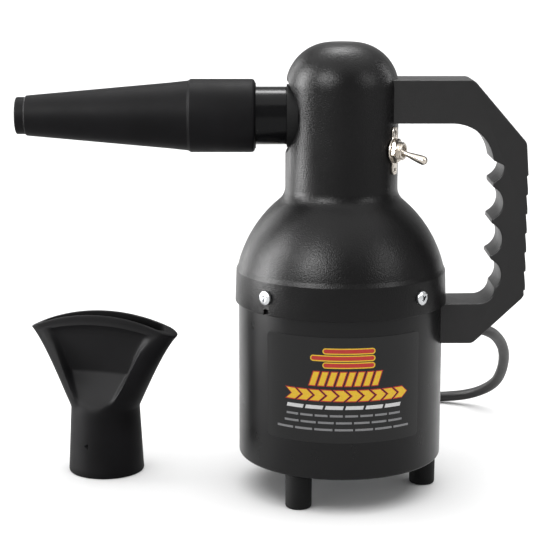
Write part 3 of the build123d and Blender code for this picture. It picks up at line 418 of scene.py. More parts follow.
@dataclass(frozen=True)
class OpenFoam(Finish):
    """Open-cell foam."""

    def height(self, shader: Shader) -> Signal:
        """Cells of the foam."""
        inputs = {"Vector": shader.place(), "Scale": 1.0 / self.grain_size}
        return shader.node("ShaderNodeTexVoronoi", {"feature": "F1"}, inputs, "Distance")


@dataclass(frozen=True)
class LabelFilm(Finish):
    """Glossy black film with a generic print: stripes, slanted bars, arrows and rows of dashes."""

    width: float = 108.3
    tall: float = 69.5
    amber: Colour = (0.6, 0.38, 0.02, 1.0)
    red: Colour = (0.38, 0.022, 0.015, 1.0)
    white: Colour = (0.5, 0.5, 0.5, 1.0)
    grey: Colour = (0.17, 0.17, 0.175, 1.0)

    def base(self, shader: Shader) -> Signal:
        """The print, in the film's own width and height.

        Args:
            shader: the material being made.

        Returns:
            The colour.
        """
        sheet = shader.node("ShaderNodeUVMap", {"uv_map": "UVMap"})
        side = shader.node("ShaderNodeSeparateXYZ", inputs={"Vector": sheet}, output="X")
        rise = shader.node("ShaderNodeSeparateXYZ", inputs={"Vector": sheet}, output="Y")
        across, up = (side - 0.5) * self.width, rise * self.tall
        lean = across - (up - 43.0) * 0.32
        arrow = across + abs(up - 31.5) * 1.1
        ink = shader.blend(shader.noise(30.0, 2.0), self.tint(0.8), self.tint(1.2))
        ink = shader.blend(self.stripes(across, up, 0.7), ink, self.amber)
        ink = shader.blend(self.stripes(across, up, 0.0), ink, self.red)
        for edge, colour in ((0.0, self.red), (0.6, self.amber)):
            for place, reach, (low, high), pitch in (
                (lean, (-22.0, 24.4), (37.5, 47.5), 5.8),
                (arrow, (-35.5, 44.5), (27.5, 35.5), 8.0),
            ):
                bars = self.blocks(place, up, reach, (low + edge, high - edge), pitch, 0.5 + edge)
                ink = shader.blend(bars, ink, colour)
        ink = shader.blend(self.blocks(lean, up, (-32.5, 45.5), (22.4, 24.8), 13.0, 0.8), ink, self.white)
        for level, half, pitch in ((17.4, 39.0, 9.75), (12.8, 40.5, 11.57), (8.2, 46.0, 13.14)):
            dashes = self.blocks(across, up, (-half, half), (level, level + 1.4), pitch, 0.7)
            ink = shader.blend(dashes, ink, self.grey)
        return ink

    def blocks(self, place: Signal, up: Signal, reach: Pair, rows: Pair, pitch: float, gap: float) -> Signal:
        """Mask of one row of blocks.

        Args:
            place: place along the row.
            up: place above the film's lower edge.
            reach: ends of the row.
            rows: its lower and upper edge.
            pitch: distance from block to block.
            gap: gap at each side of a block.

        Returns:
            The mask.
        """
        row = place.between(*reach, 0.2) * up.between(*rows, 0.2)
        return row * ((place - reach[0]) % pitch).between(gap, pitch - gap, 0.2)

    def stripes(self, across: Signal, up: Signal, edge: float) -> Signal:
        """Mask of three straight stripes with round ends.

        Args:
            across: place across the film in millimetres from its middle.
            up: place above its lower edge.
            edge: width of the line round them.

        Returns:
            The mask.
        """
        mask: Signal | None = None
        for level, middle, half in ((60.6, 3.0, 15.0), (56.0, -1.0, 19.0), (51.4, 3.0, 15.0)):
            past_end = abs(across - middle) - half
            past_end = past_end.maths("MAXIMUM", past_end, 0.0)
            off_line = up - level
            reach = past_end.maths("SQRT", past_end * past_end + off_line * off_line)
            stripe = (1.3 + edge - reach).above(0.0, 0.2)
            mask = stripe if mask is None else mask.maths("MAXIMUM", mask, stripe)
        return mask


CAN_PAINT = SpunPaint(
    "can_paint", (0.004, 0.0039, 0.0042), 0.3, shine=0.16, cloud_size=40.0,
    grain_size=0.9, grain_depth=0.012,
)
POWDER = PowderCoat(
    "powder_coat", (0.0042, 0.004, 0.0042), 0.34, shine=0.12, cloud_size=30.0,
    grain_size=0.9, grain_depth=0.11,
)
ENAMEL = Finish("gloss_enamel", (0.003, 0.003, 0.0034), 0.2, shine=0.1, grain_size=2.5, grain_depth=0.01)
RUBBER = Rubber("black_rubber", (0.005, 0.005, 0.0052), 0.6, shine=0.12, grain_size=0.5, grain_depth=0.03)
NOZZLE_RUBBER = Rubber(
    "nozzle_rubber", (0.0042, 0.004, 0.0046), 0.56, shine=0.06, cloud_size=26.0,
    grain_size=0.5, grain_depth=0.02,
)
GRIP = Moulding(
    "handle_moulding", (0.006, 0.0056, 0.0058), 0.42, shine=0.27, cloud_size=24.0,
    grain_size=0.5, grain_depth=0.03,
)
ZINC = Metal("zinc_steel", (0.5, 0.51, 0.52), 0.26, gloss_change=0.16, grain_size=0.25, grain_depth=0.006)
NICKEL = Metal("nickel", (0.44, 0.4, 0.35), 0.26, gloss_change=0.12, grain_size=0.2, grain_depth=0.004)
STEEL = Metal("steel", (0.42, 0.42, 0.43), 0.38, gloss_change=0.2, grain_size=0.4, grain_depth=0.01)
ALUMINIUM = Metal("fan_aluminium", (0.7, 0.71, 0.72), 0.34, gloss_change=0.2, scratch_along=(0.05, 1.0, 1.0))
COPPER = Wound("copper", (0.62, 0.26, 0.12), 0.3, metallic=0.9, grain_depth=0.25)
BRASS = Metal("brass", (0.74, 0.55, 0.24), 0.28, gloss_change=0.14, grain_size=0.3, grain_depth=0.008)
CARBON = Finish("carbon", (0.02, 0.02, 0.022), 0.55, metallic=0.2, grain_size=0.2, grain_depth=0.02)
PHENOLIC = Moulding("black_phenolic", (0.01, 0.008, 0.007), 0.35, grain_size=0.5, grain_depth=0.01)
FOAM = OpenFoam("grey_foam", (0.06, 0.06, 0.065), 0.9, grain_size=1.1, grain_depth=0.8)
LEADS = Finish("wire_insulation", (0.02, 0.02, 0.022), 0.45, grain_size=1.2, grain_depth=0.02)
JACKET = Rubber(
    "cord_rubber", (0.013, 0.0125, 0.0125), 0.5, cloud_size=14.0, grain_size=0.7, grain_depth=0.03,
)
STRAP = Moulding("tie_strap", (0.012, 0.012, 0.013), 0.5, grain_size=0.8, grain_depth=0.04)
LABEL = LabelFilm(
    "label_film", (0.0012, 0.0012, 0.0014), 0.06, shine=0.26, gloss_change=0.02,
    grain_size=9.0, grain_depth=0.01,
)


# ---- the bench: modelling steps --------------------------------------------------------------------
class Axis(Enum):
    """Axis that a piece is turned about."""

    CAN = (0.0, 0.0, 1.0)
    OUTLET = (1.0, 0.0, 0.0)


def deselect() -> None:
    """Leaves edit mode with nothing selected."""
    if bpy.context.object and bpy.context.object.mode != "OBJECT":
        bpy.ops.object.mode_set(mode="OBJECT")
    bpy.ops.object.select_all(action="DESELECT")


def pick(piece: bpy.types.Object) -> None:
    """Makes one object the only one selected.

    Args:
        piece: the piece.
    """
    deselect()
    piece.select_set(True)
    bpy.context.view_layer.objects.active = piece


@contextmanager
def editing(piece: bpy.types.Object, mode: str = "VERT") -> Iterator[None]:
    """Opens a piece in edit mode with all of it selected.

    Args:
        piece: the piece.
        mode: VERT, EDGE or FACE selection.

    Returns:
        Nothing; the piece is left in object mode at the end.
    """
    pick(piece)
    bpy.ops.object.mode_set(mode="EDIT")
    bpy.ops.mesh.select_mode(type=mode)
    bpy.ops.mesh.select_all(action="SELECT")
    yield
    bpy.ops.object.mode_set(mode="OBJECT")


def named(name: str) -> bpy.types.Object:
    """Names the primitive that was just added.

    Args:
        name: the piece's name.

    Returns:
        The piece.
    """
    piece = bpy.context.object
    piece.name = name
    piece.data.name = name
    return piece


def place_piece(piece: bpy.types.Object, matrix: Matrix) -> bpy.types.Object:
    """Moves a piece by a matrix that its mesh then takes on.

    Args:
        piece: the piece.
        matrix: the move.

    Returns:
        The piece.
    """
    pick(piece)
    piece.matrix_world = matrix
    bpy.ops.object.transform_apply(location=True, rotation=True, scale=True)
    return piece


def close_up(piece: bpy.types.Object) -> bpy.types.Object:
    """Merges what meets and turns the faces outwards.

    Args:
        piece: the piece.

    Returns:
        The piece.
    """
    with editing(piece):
        bpy.ops.mesh.remove_doubles(threshold=0.002)
        bpy.ops.mesh.normals_make_consistent(inside=False)
    return piece


def rounded(corners: Sequence[Triple], closed: bool = True, steps: int = 5) -> list[Pair]:
    """Outline with an arc at each corner.

    Args:
        corners: each corner's two coordinates and its radius.
        closed: whether the last corner joins the first.
        steps: parts of each arc.

    Returns:
        The outline's points.
    """
    line: list[Pair] = []
    count = len(corners)
    for index, (across, up, radius) in enumerate(corners):
        if radius == 0 or (not closed and index in (0, count - 1)):
            line.append((across, up))
            continue
        corner = Vector((across, up))
        back = (Vector(corners[index - 1][:2]) - corner).normalized()
        ahead = (Vector(corners[(index + 1) % count][:2]) - corner).normalized()
        half = back.angle(ahead) / 2
        centre = corner + (back + ahead).normalized() * (radius / math.sin(half))
        first = corner + back * (radius / math.tan(half)) - centre
        last = corner + ahead * (radius / math.tan(half)) - centre
        start = math.atan2(first.y, first.x)
        sweep = (math.atan2(last.y, last.x) - start + math.pi) % (2 * math.pi) - math.pi
        for step in range(steps + 1):
            angle = start + sweep * step / steps
            line.append((centre.x + radius * math.cos(angle), centre.y + radius * math.sin(angle)))
    return line


def arc(centre: Pair, radius: float, start: float, end: float, steps: int) -> list[Pair]:
    """Points along an arc.

    Args:
        centre: its centre.
        radius: its radius.
        start: first angle in degrees.
        end: last angle.
        steps: its parts.

    Returns:
        The points.
    """
    angles = [math.radians(start + (end - start) * step / steps) for step in range(steps + 1)]
    return [(centre[0] + radius * math.cos(a), centre[1] + radius * math.sin(a)) for a in angles]


def traced(name: str, points: Sequence[Triple], closed: bool = False) -> bpy.types.Object:
    """Line drawn by extruding one vertex from point to point.

    Args:
        name: the piece's name.
        points: the line's points.
        closed: whether the last point is joined to the first.

    Returns:
        The piece, with edges only.
    """
    deselect()
    bpy.ops.mesh.primitive_plane_add(size=1.0, location=(0, 0, 0))
    piece = named(name)
    with editing(piece):
        bpy.ops.mesh.merge(type="CENTER")
        bpy.ops.transform.translate(value=points[0])
        for before, after in zip(points, points[1:]):
            step = Vector(after) - Vector(before)
            bpy.ops.mesh.extrude_vertices_move(TRANSFORM_OT_translate={"value": step})
        if closed:
            step = Vector(points[0]) - Vector(points[-1])
            bpy.ops.mesh.extrude_vertices_move(TRANSFORM_OT_translate={"value": step})
            bpy.ops.mesh.select_all(action="SELECT")
            bpy.ops.mesh.remove_doubles(threshold=0.0005)
    return piece


def turned(
    name: str,
    profile: Sequence[Pair],
    steps: int = 96,
    axis: Axis = Axis.CAN,
    height: float = 0.0,
    closed: bool = True,
) -> bpy.types.Object:
    """Piece spun from a traced profile.

    Args:
        name: the piece's name.
        profile: radius and height for the can's axis, or place along X and radius for the outlet's.
        steps: parts of the full turn.
        axis: what it is turned about.
        height: height of a level axis.
        closed: whether the profile is a closed loop.

    Returns:
        The closed piece.
    """
    if axis is Axis.CAN:
        points = [(across, 0.0, up) for across, up in profile]
    else:
        points = [(across, 0.0, height + up) for across, up in profile]
    piece = traced(name, points, closed)
    with editing(piece):
        bpy.ops.mesh.spin(steps=steps, angle=2 * math.pi, center=(0, 0, height), axis=axis.value)
    return close_up(piece)


def pulled(name: str, outline: Sequence[Triple], pull: Triple) -> bpy.types.Object:
    """Block extruded from a traced outline.

    Args:
        name: the piece's name.
        outline: corners of the flat outline.
        pull: how far and which way it is extruded.

    Returns:
        The closed block.
    """
    piece = traced(name, outline, closed=True)
    with editing(piece):
        bpy.ops.mesh.edge_face_add()
        bpy.ops.mesh.extrude_region_move(TRANSFORM_OT_translate={"value": pull})
    return close_up(piece)


def applied(piece: bpy.types.Object, kind: str, **settings: object) -> bpy.types.Object:
    """Adds a modifier and applies it.

    Args:
        piece: the piece.
        kind: the modifier's type.
        settings: its settings.

    Returns:
        The piece.
    """
    pick(piece)
    modifier = piece.modifiers.new(kind.lower(), kind)
    for key, value in settings.items():
        setattr(modifier, key, value)
    bpy.ops.object.modifier_apply(modifier=modifier.name)
    return piece


def bevelled(piece: bpy.types.Object, width: float, parts: int = 2, sharp: float = 40.0) -> bpy.types.Object:
    """Rounds the edges that are sharper than an angle in degrees."""
    limit = {"limit_method": "ANGLE", "angle_limit": math.radians(sharp)}
    return applied(piece, "BEVEL", width=width, segments=parts, miter_outer="MITER_ARC", **limit)


def cut(piece: bpy.types.Object, tool: bpy.types.Object, operation: str = "DIFFERENCE") -> bpy.types.Object:
    """Cuts a piece with a tool, which is used up.

    Args:
        piece: the piece.
        tool: what cuts it.
        operation: DIFFERENCE, or INTERSECT to keep only what lies inside the tool.

    Returns:
        The piece.
    """
    applied(piece, "BOOLEAN", operation=operation, object=tool, solver="EXACT")
    bpy.data.objects.remove(tool)
    return piece


def joined(pieces: Sequence[bpy.types.Object]) -> bpy.types.Object:
    """Joins pieces into the first of them.

    Args:
        pieces: the pieces.

    Returns:
        The first one, which now holds them all.
    """
    pick(pieces[0])
    for piece in pieces:
        piece.select_set(True)
    bpy.ops.object.join()
    return pieces[0]


def copied(piece: bpy.types.Object, matrices: Sequence[Matrix]) -> bpy.types.Object:
    """Repeats a piece, each copy with its own mesh.

    Args:
        piece: the piece, about its own origin.
        matrices: where each copy goes.

    Returns:
        All the copies in one object, under the piece's name.
    """
    copies = []
    for matrix in matrices:
        pick(piece)
        bpy.ops.object.duplicate()
        copies.append(place_piece(bpy.context.object, matrix))
    name = piece.name
    bpy.data.objects.remove(piece)
    whole = joined(copies)
    whole.name = name
    return whole


def spun(degrees: float, axis: str = "Z") -> Matrix:
    """Matrix of a turn about one axis."""
    return Matrix.Rotation(math.radians(degrees), 4, axis)


def eased(share: float) -> float:
    """Share from 0 to 1 that starts and ends softly."""
    return share * share * (3 - 2 * share)


def select_faces(piece: bpy.types.Object, direction: Vector) -> None:
    """Selects, in edit mode, only the faces that look one way.

    Args:
        piece: the piece being edited.
        direction: the way that the faces look.
    """
    bpy.ops.mesh.select_all(action="DESELECT")
    bpy.ops.object.mode_set(mode="OBJECT")
    for face in piece.data.polygons:
        face.select = face.normal.dot(direction) > 0.9
    bpy.ops.object.mode_set(mode="EDIT")


def rod(name: str, radius: float, length: float, sides: int = 48) -> bpy.types.Object:
    """Plain round bar standing on the origin, for cutting.

    Args:
        name: its name.
        radius: its radius.
        length: its length.
        sides: its sides.

    Returns:
        The bar.
    """
    deselect()
    middle = (0, 0, length / 2)
    bpy.ops.mesh.primitive_cylinder_add(vertices=sides, radius=radius, depth=length, location=middle)
    piece = named(name)
    return place_piece(piece, piece.matrix_world.copy())


def drilled(
    piece: bpy.types.Object, radius: float, sides: int, across: float = 0.0, depth: float = 6.0
) -> None:
    """Drills a hole down through a piece that lies on the level plane.

    Args:
        piece: the piece.
        radius: the hole's radius.
        sides: its sides.
        across: its place along X.
        depth: length of the drill, which starts 3 mm below the plane.
    """
    cut(piece, place_piece(rod("hole", radius, depth, sides), Matrix.Translation((across, 0, -3))))


def block(name: str, size: Triple, centre: Triple = (0.0, 0.0, 0.0)) -> bpy.types.Object:
    """Square block of a size about a centre, to be shaped further.

    Args:
        name: its name.
        size: its three sizes.
        centre: its centre.

    Returns:
        The block.
    """
    deselect()
    bpy.ops.mesh.primitive_cube_add(size=1.0, location=(0, 0, 0))
    piece = named(name)
    with editing(piece):
        bpy.ops.transform.resize(value=size)
        bpy.ops.transform.translate(value=centre)
    return piece


def polar(radius: float, degrees: float, up: float = 0.0) -> Vector:
    """Point about the can's axis, 0 towards +X and 90 towards +Y."""
    angle = math.radians(degrees)
    return Vector((radius * math.cos(angle), radius * math.sin(angle), up))


def directions_round(count: int) -> list[Pair]:
    """Directions evenly round a circle."""
    turns = [2 * math.pi * step / count for step in range(count)]
    return [(math.cos(turn), math.sin(turn)) for turn in turns]


def facing(origin: Vector, outward: Vector, upward: Vector = Vector((0, 0, 1))) -> Matrix:
    """Matrix that sets a piece's Z outwards and its X upwards at a place.

    Args:
        origin: the place.
        outward: direction of the piece's Z.
        upward: direction that its X leans towards.

    Returns:
        The matrix.
    """
    z = outward.normalized()
    y = z.cross(upward).normalized()
    x = y.cross(z)
    return Matrix.Translation(origin) @ Matrix((x, y, z)).transposed().to_4x4()


def hand_over(
    piece: bpy.types.Object, finish: Finish, body: str = "root", smooth: float = 38.0
) -> bpy.types.Object:
    """Sets a finished piece in the frame in place of the CAD node of its name, dressed and on its body.

    Args:
        piece: the piece, in millimetres about the can's axis.
        finish: its finish, whose name is the record's material slot.
        body: the CAD body it moves with.
        smooth: edges sharper than this many degrees stay sharp.

    Returns:
        The piece.
    """
    place_piece(piece, Matrix.Translation((CAN_AXIS_X * METRE, 0, 0)) @ Matrix.Scale(METRE, 4))
    bpy.ops.object.shade_smooth_by_angle(angle=math.radians(smooth))
    piece.data.materials.clear()
    piece.data.materials.append(finish.material())
    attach(piece, body)
    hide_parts(piece.name.partition(".")[0])
    LOG.info("%s has %d faces", piece.name, len(piece.data.polygons))
    return piece


def outwards(piece: bpy.types.Object, centre: Vector) -> None:
    """Flips an open sheet's faces if they look towards a point.

    Args:
        piece: the sheet.
        centre: point that the faces should look away from.
    """
    facing_out = sum(face.normal.dot(face.center - centre) for face in piece.data.polygons)
    if facing_out < 0:
        with editing(piece):
            bpy.ops.mesh.flip_normals()


# ---- studio ----------------------------------------------------------------------------------------
@dataclass(frozen=True)
class Panel:
    """Soft rectangular light, seen only in reflections."""

    name: str
    location: Triple
    size: Pair
    power: float

    def build(self, target: Triple) -> None:
        """Hangs the light so that it looks at a point.

        Args:
            target: the point.
        """
        deselect()
        bpy.ops.object.light_add(type="AREA", location=self.location)
        light = bpy.context.object
        light.name = self.name
        light.data.shape = "RECTANGLE"
        light.data.size, light.data.size_y = self.size
        light.data.energy = self.power
        light.visible_diffuse = False
        away = Vector(self.location) - Vector(target)
        light.rotation_euler = away.to_track_quat("Z", "Y").to_euler()


@dataclass
class Studio:
    """Floor, soft lights and the camera."""

    camera_at: Triple = (0.0004, -1.0502, 0.3608)
    camera_tilt: float = 78.5
    lens: float = 105.88
    floor_size: float = 60.0
    world_grey: float = 0.58
    sun_power: float = 3.2
    sun_angle: float = 85.0
    sun_gloss: float = 0.2
    lights_look_at: Triple = (0.03, 0.0, 0.17)
    panels: tuple[Panel, ...] = (
        Panel("left_panel", (-0.95, 0.05, 0.42), (0.4, 0.9), 42.0),
        Panel("left_back_panel", (-0.72, 0.8, 0.4), (0.35, 0.9), 6.0),
        Panel("right_back_panel", (0.95, 0.4, 0.42), (0.12, 0.9), 4.0),
        Panel("right_front_panel", (0.85, -0.55, 0.7), (0.3, 0.4), 5.0),
        Panel("front_panel", (-0.75, -1.0, 0.95), (0.6, 0.4), 34.0),
        Panel("top_panel", (0.05, 0.45, 1.3), (0.5, 0.3), 12.0),
    )

    def build(self) -> None:
        """Makes everything that isn't part of the object."""
        for leftover in [o for o in bpy.data.objects if o.type in ("CAMERA", "LIGHT") or o.name == "Cube"]:
            bpy.data.objects.remove(leftover)
        self.make_camera()
        self.make_floor()
        self.make_world()
        for panel in self.panels:
            panel.build(self.lights_look_at)
        self.make_sun()
        settings = bpy.context.scene.view_settings
        settings.view_transform = "Standard"
        settings.look = "None"

    def make_sun(self) -> None:
        """Wide overhead light, like a white ceiling."""
        deselect()
        bpy.ops.object.light_add(type="SUN", location=(0, 0, 3))
        sun = bpy.context.object.data
        sun.energy = self.sun_power
        sun.angle = math.radians(self.sun_angle)
        sun.specular_factor = self.sun_gloss

    def make_camera(self) -> None:
        """Camera at the catalogue view's angle."""
        deselect()
        bpy.ops.object.camera_add(location=self.camera_at, rotation=(math.radians(self.camera_tilt), 0, 0))
        camera = bpy.context.object
        camera.data.lens = self.lens
        camera.data.sensor_width = 36.0
        camera.data.clip_end = 100.0
        bpy.context.scene.camera = camera

    def make_floor(self) -> None:
        """Wide pale floor."""
        deselect()
        bpy.ops.mesh.primitive_plane_add(size=self.floor_size, location=(0, 0, 0))
        floor = named("floor")
        shader = Shader("floor_paper")
        paper = shader.blend(shader.noise(400.0, 2.0), (0.86, 0.86, 0.86, 1.0), (0.88, 0.88, 0.88, 1.0))
        shader.feed(shader.surface.inputs["Base Color"], paper)
        shader.surface.inputs["Roughness"].default_value = 0.9
        shader.surface.inputs["Specular IOR Level"].default_value = 0.1
        floor.data.materials.append(shader.material)

    def make_world(self) -> None:
        """Even grey surroundings."""
        world = bpy.data.worlds.new("studio")
        world.use_nodes = True
        grey = (self.world_grey,) * 3 + (1.0,)
        world.node_tree.nodes["Background"].inputs["Color"].default_value = grey
        bpy.context.scene.world = world


# ---- mains cord ------------------------------------------------------------------------------------
@dataclass
class MainsCord:
    """Cord with its strain relief, the coil in its tie, and the plug."""

    radius: float = 4.0
    can_r: float = 68.2
    exit_azimuth: float = 30.0
    exit_z: float = 108.0
    droop: float = 15.0
    lead_out: float = 28.0
    relief_length: float = 30.0
    relief_root_r: float = 7.6
    relief_tip_r: float = 5.0
    relief_ribs: int = 5
    flange_r: float = 10.0
    length: float = 3.66
    coil_centre: Pair = (9.0, 144.5)
    coil_r: float = 44.5
    coil_floor: float = 1.0
    coil_exit: float = 8.0
    points_a_turn: int = 16
    change_over: float = 20.0
    tie_width: float = 16.0
    tie_corner_r: float = 3.4
    plug_size: Triple = (36.0, 30.0, 24.0)
    plug_neck: float = 8.0
    plug_insets: Pair = (2.5, 3.5)
    plug_grooves: int = 5
    groove_pitch: float = 3.6
    groove_width: float = 1.4
    route: list[Triple] = field(default_factory=lambda: [
        (120.5, 88.0, 79.5), (128.3, 112.0, 63.0), (131.3, 140.0, 42.5), (129.5, 166.0, 23.5),
        (114.5, 186.0, 9.5), (90.5, 196.5, 4.2), (65.0, 197.1, 4.0), (40.0, 196.2, 4.4), (18.0, 196.6, 5.0),
    ])
    tail: list[Triple] = field(default_factory=lambda: [
        (61.0, 173.0, 15.5), (56.0, 195.0, 15.5), (45.0, 215.0, 14.0), (28.0, 229.0, 12.5),
        (6.0, 234.0, 12.0),
    ])

    def relief_axis(self) -> Vector:
        """Direction in which the strain relief droops out of the can.

        Returns:
            The direction.
        """
        slope = math.radians(self.droop)
        flat = polar(math.cos(slope), self.exit_azimuth)
        return Vector((flat.x, flat.y, -math.sin(slope)))

    def coil_slots(self) -> list[Pair]:
        """Radius and height of each turn, wound across and up as a hand would wind it.

        Returns:
            One pair for each turn.
        """
        pitch = 2 * self.radius
        order = [(1, 0), (0, 0), (-1, 0), (-1, 1), (0, 1), (0, 2)]
        order += [(-1, 2), (-1, 3), (0, 3), (1, 3), (1, 2), (1, 1)]
        floor = self.coil_floor + self.radius
        return [(self.coil_r + row * pitch, floor + layer * pitch) for row, layer in order]

    def coil_points(self) -> list[Vector]:
        """Control points of the coil, whose turns change places near its near side.

        Returns:
            Points from the turn that starts at the back to the one that leaves for the plug.
        """
        slots = self.coil_slots()
        changes, leave = [], 430.0
        for before, here, after in zip(slots, slots[1:], slots[2:] + [None]):
            changes.append(leave)
            straight = after is None or (before[0] == after[0] or before[1] == after[1])
            leave += 360.0 if straight else 360.0 - self.change_over / 2
        end = 360.0 * (len(slots) - 1) + 360.0 + self.coil_exit
        step = 360.0 / self.points_a_turn
        grow = 2 / (1 + math.cos(math.radians(step / 2)))
        points, angle = [], 90.0 + step
        while angle < end:
            turn = sum(angle > change + self.change_over for change in changes)
            radius, height = slots[turn]
            if turn < len(changes) and angle > changes[turn]:
                share = (angle - changes[turn]) / self.change_over
                radius += (slots[turn + 1][0] - radius) * share
                height += (slots[turn + 1][1] - height) * share
            place = polar(radius * grow, angle, height)
            points.append(place + Vector((*self.coil_centre, 0.0)))
            angle += step
        return points

    def build(self) -> None:
        root = polar(self.can_r, self.exit_azimuth, self.exit_z)
        tip = root + self.relief_axis() * self.relief_length
        start = [tip, tip + self.relief_axis() * self.lead_out]
        points = start + [Vector(p) for p in self.route] + self.coil_points() + [Vector(p) for p in self.tail]
        cord = self.make_line([Vector((p.x + CAN_AXIS_X, p.y, p.z)) * METRE for p in points])
        self.make_relief(root)
        tie = self.make_tie()
        plug = self.make_plug()

    def make_line(self, points: Sequence[Vector]) -> bpy.types.Object:
        """The cord itself.

        Args:
            points: control points in metres.

        Returns:
            The curve object.
        """
        curve = bpy.data.curves.new("mains_cord", "CURVE")
        curve.dimensions = "3D"
        spline = curve.splines.new("NURBS")
        spline.points.add(len(points) - 1)
        for target, point in zip(spline.points, points):
            target.co = (*point, 1.0)
        spline.order_u = 3
        spline.use_endpoint_u = True
        spline.resolution_u = 8
        curve.bevel_depth = self.radius * METRE
        curve.bevel_resolution = 5
        curve.use_fill_caps = True
        curve.materials.append(JACKET.material())
        cord = bpy.data.objects.new("mains_cord", curve)
        bpy.context.scene.collection.objects.link(cord)
        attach(cord, "root")
        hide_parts("cord_tube", "cord_coil", "cord_tail")
        LOG.info("mains_cord follows %d points", len(points))
        return cord

    def make_relief(self, root: Vector) -> None:
        """Tapered sleeve with grooves between its ribs, and a flange against the can.

        Args:
            root: where the cord leaves the can.
        """
        rib = (self.relief_length - 6.0) / self.relief_ribs
        corners: list[Triple] = [(self.radius, -1.0, 0), (self.relief_root_r, -1.0, 0)]
        corners += [(self.relief_root_r, 4.0, 0.5)]
        taper = (self.relief_root_r - self.relief_tip_r) / self.relief_length
        for number in range(self.relief_ribs):
            low = 4.0 + number * rib
            outer = self.relief_root_r - taper * low
            corners += [
                (outer - 1.3, low + 0.3, 0.3), (outer - 1.3, low + rib * 0.4, 0.3),
                (outer, low + rib * 0.4, 0.5), (outer - taper * rib * 0.6, low + rib, 0.5),
            ]
        neck_r = self.relief_tip_r - 0.6
        corners += [(neck_r, self.relief_length - 1.6, 0.4), (neck_r, self.relief_length, 0.5)]
        corners += [(self.radius, self.relief_length, 0)]
        sleeve = turned("strain_relief", rounded(corners, steps=3), 48)
        place_piece(sleeve, facing(root, self.relief_axis()))
        flange = turned("flange", rounded([
            (self.radius, -1.5, 0), (self.flange_r, -1.5, 0), (self.flange_r, 2.0, 0.9),
            (self.radius, 2.0, 0.3),
        ], steps=4), 48)
        place_piece(flange, facing(root, polar(1, self.exit_azimuth)))
        for piece in (sleeve, flange):
            cut(piece, rod("can_tool", self.can_r + 0.02, 200.0, 192))
        hand_over(joined([sleeve, flange]), RUBBER)

    def make_tie(self) -> bpy.types.Object:
        """Strap round the coil's bundle, with a folded end.

        Returns:
            The strap.
        """
        half = 3 * self.radius + 1.0
        top = 8 * self.radius + 2.0
        middle = self.coil_centre[0] - self.coil_r
        sides = ((-half, 0.02), (half, 0.02), (half, top), (-half, top))
        line = rounded([(middle + across, up, self.tie_corner_r) for across, up in sides], steps=6)
        y = self.coil_centre[1] - self.tie_width / 2
        loop = traced("cord_tie", [(across, y, up) for across, up in line], closed=True)
        with editing(loop):
            bpy.ops.mesh.extrude_region_move(TRANSFORM_OT_translate={"value": (0, self.tie_width, 0)})
            bpy.ops.mesh.normals_make_consistent(inside=False)
        outwards(loop, Vector((middle, self.coil_centre[1], top / 2)))
        applied(loop, "SOLIDIFY", thickness=0.9, offset=-1.0)
        bevelled(loop, 0.25, 2)
        flap_at = (middle - 4.0, self.coil_centre[1], top - 0.45)
        flap = block("flap", (14.0, self.tie_width - 1.0, 0.8), flap_at)
        bevelled(flap, 0.3, 2)
        return hand_over(joined([loop, flap]), STRAP)

    def make_plug(self) -> bpy.types.Object:
        """Moulded plug with a waisted grip, ribs at its sides and a sleeve for the cord.

        Returns:
            The plug's body.
        """
        length, width, height = self.plug_size
        end = Vector(self.tail[-1])
        neck = self.plug_neck
        middle = (end.x - (length - neck) / 2 - neck, end.y, height / 2)
        body = block("plug_body", (length - neck, width, height), middle)
        with editing(body, "FACE"):
            select_faces(body, Vector((1, 0, 0)))
            for inset in self.plug_insets:
                bpy.ops.mesh.inset(thickness=inset)
                bpy.ops.transform.translate(value=(neck / 2, 0, 0))
        bevelled(body, 2.2, 4, 30.0)
        for number in range(self.plug_grooves):
            for side in (-1, 1):
                place = (end.x - 14.0 - number * self.groove_pitch, end.y + side * width / 2, height / 2)
                cut(body, block("groove", (self.groove_width, self.groove_width, height * 0.62), place))
        return hand_over(body, JACKET)


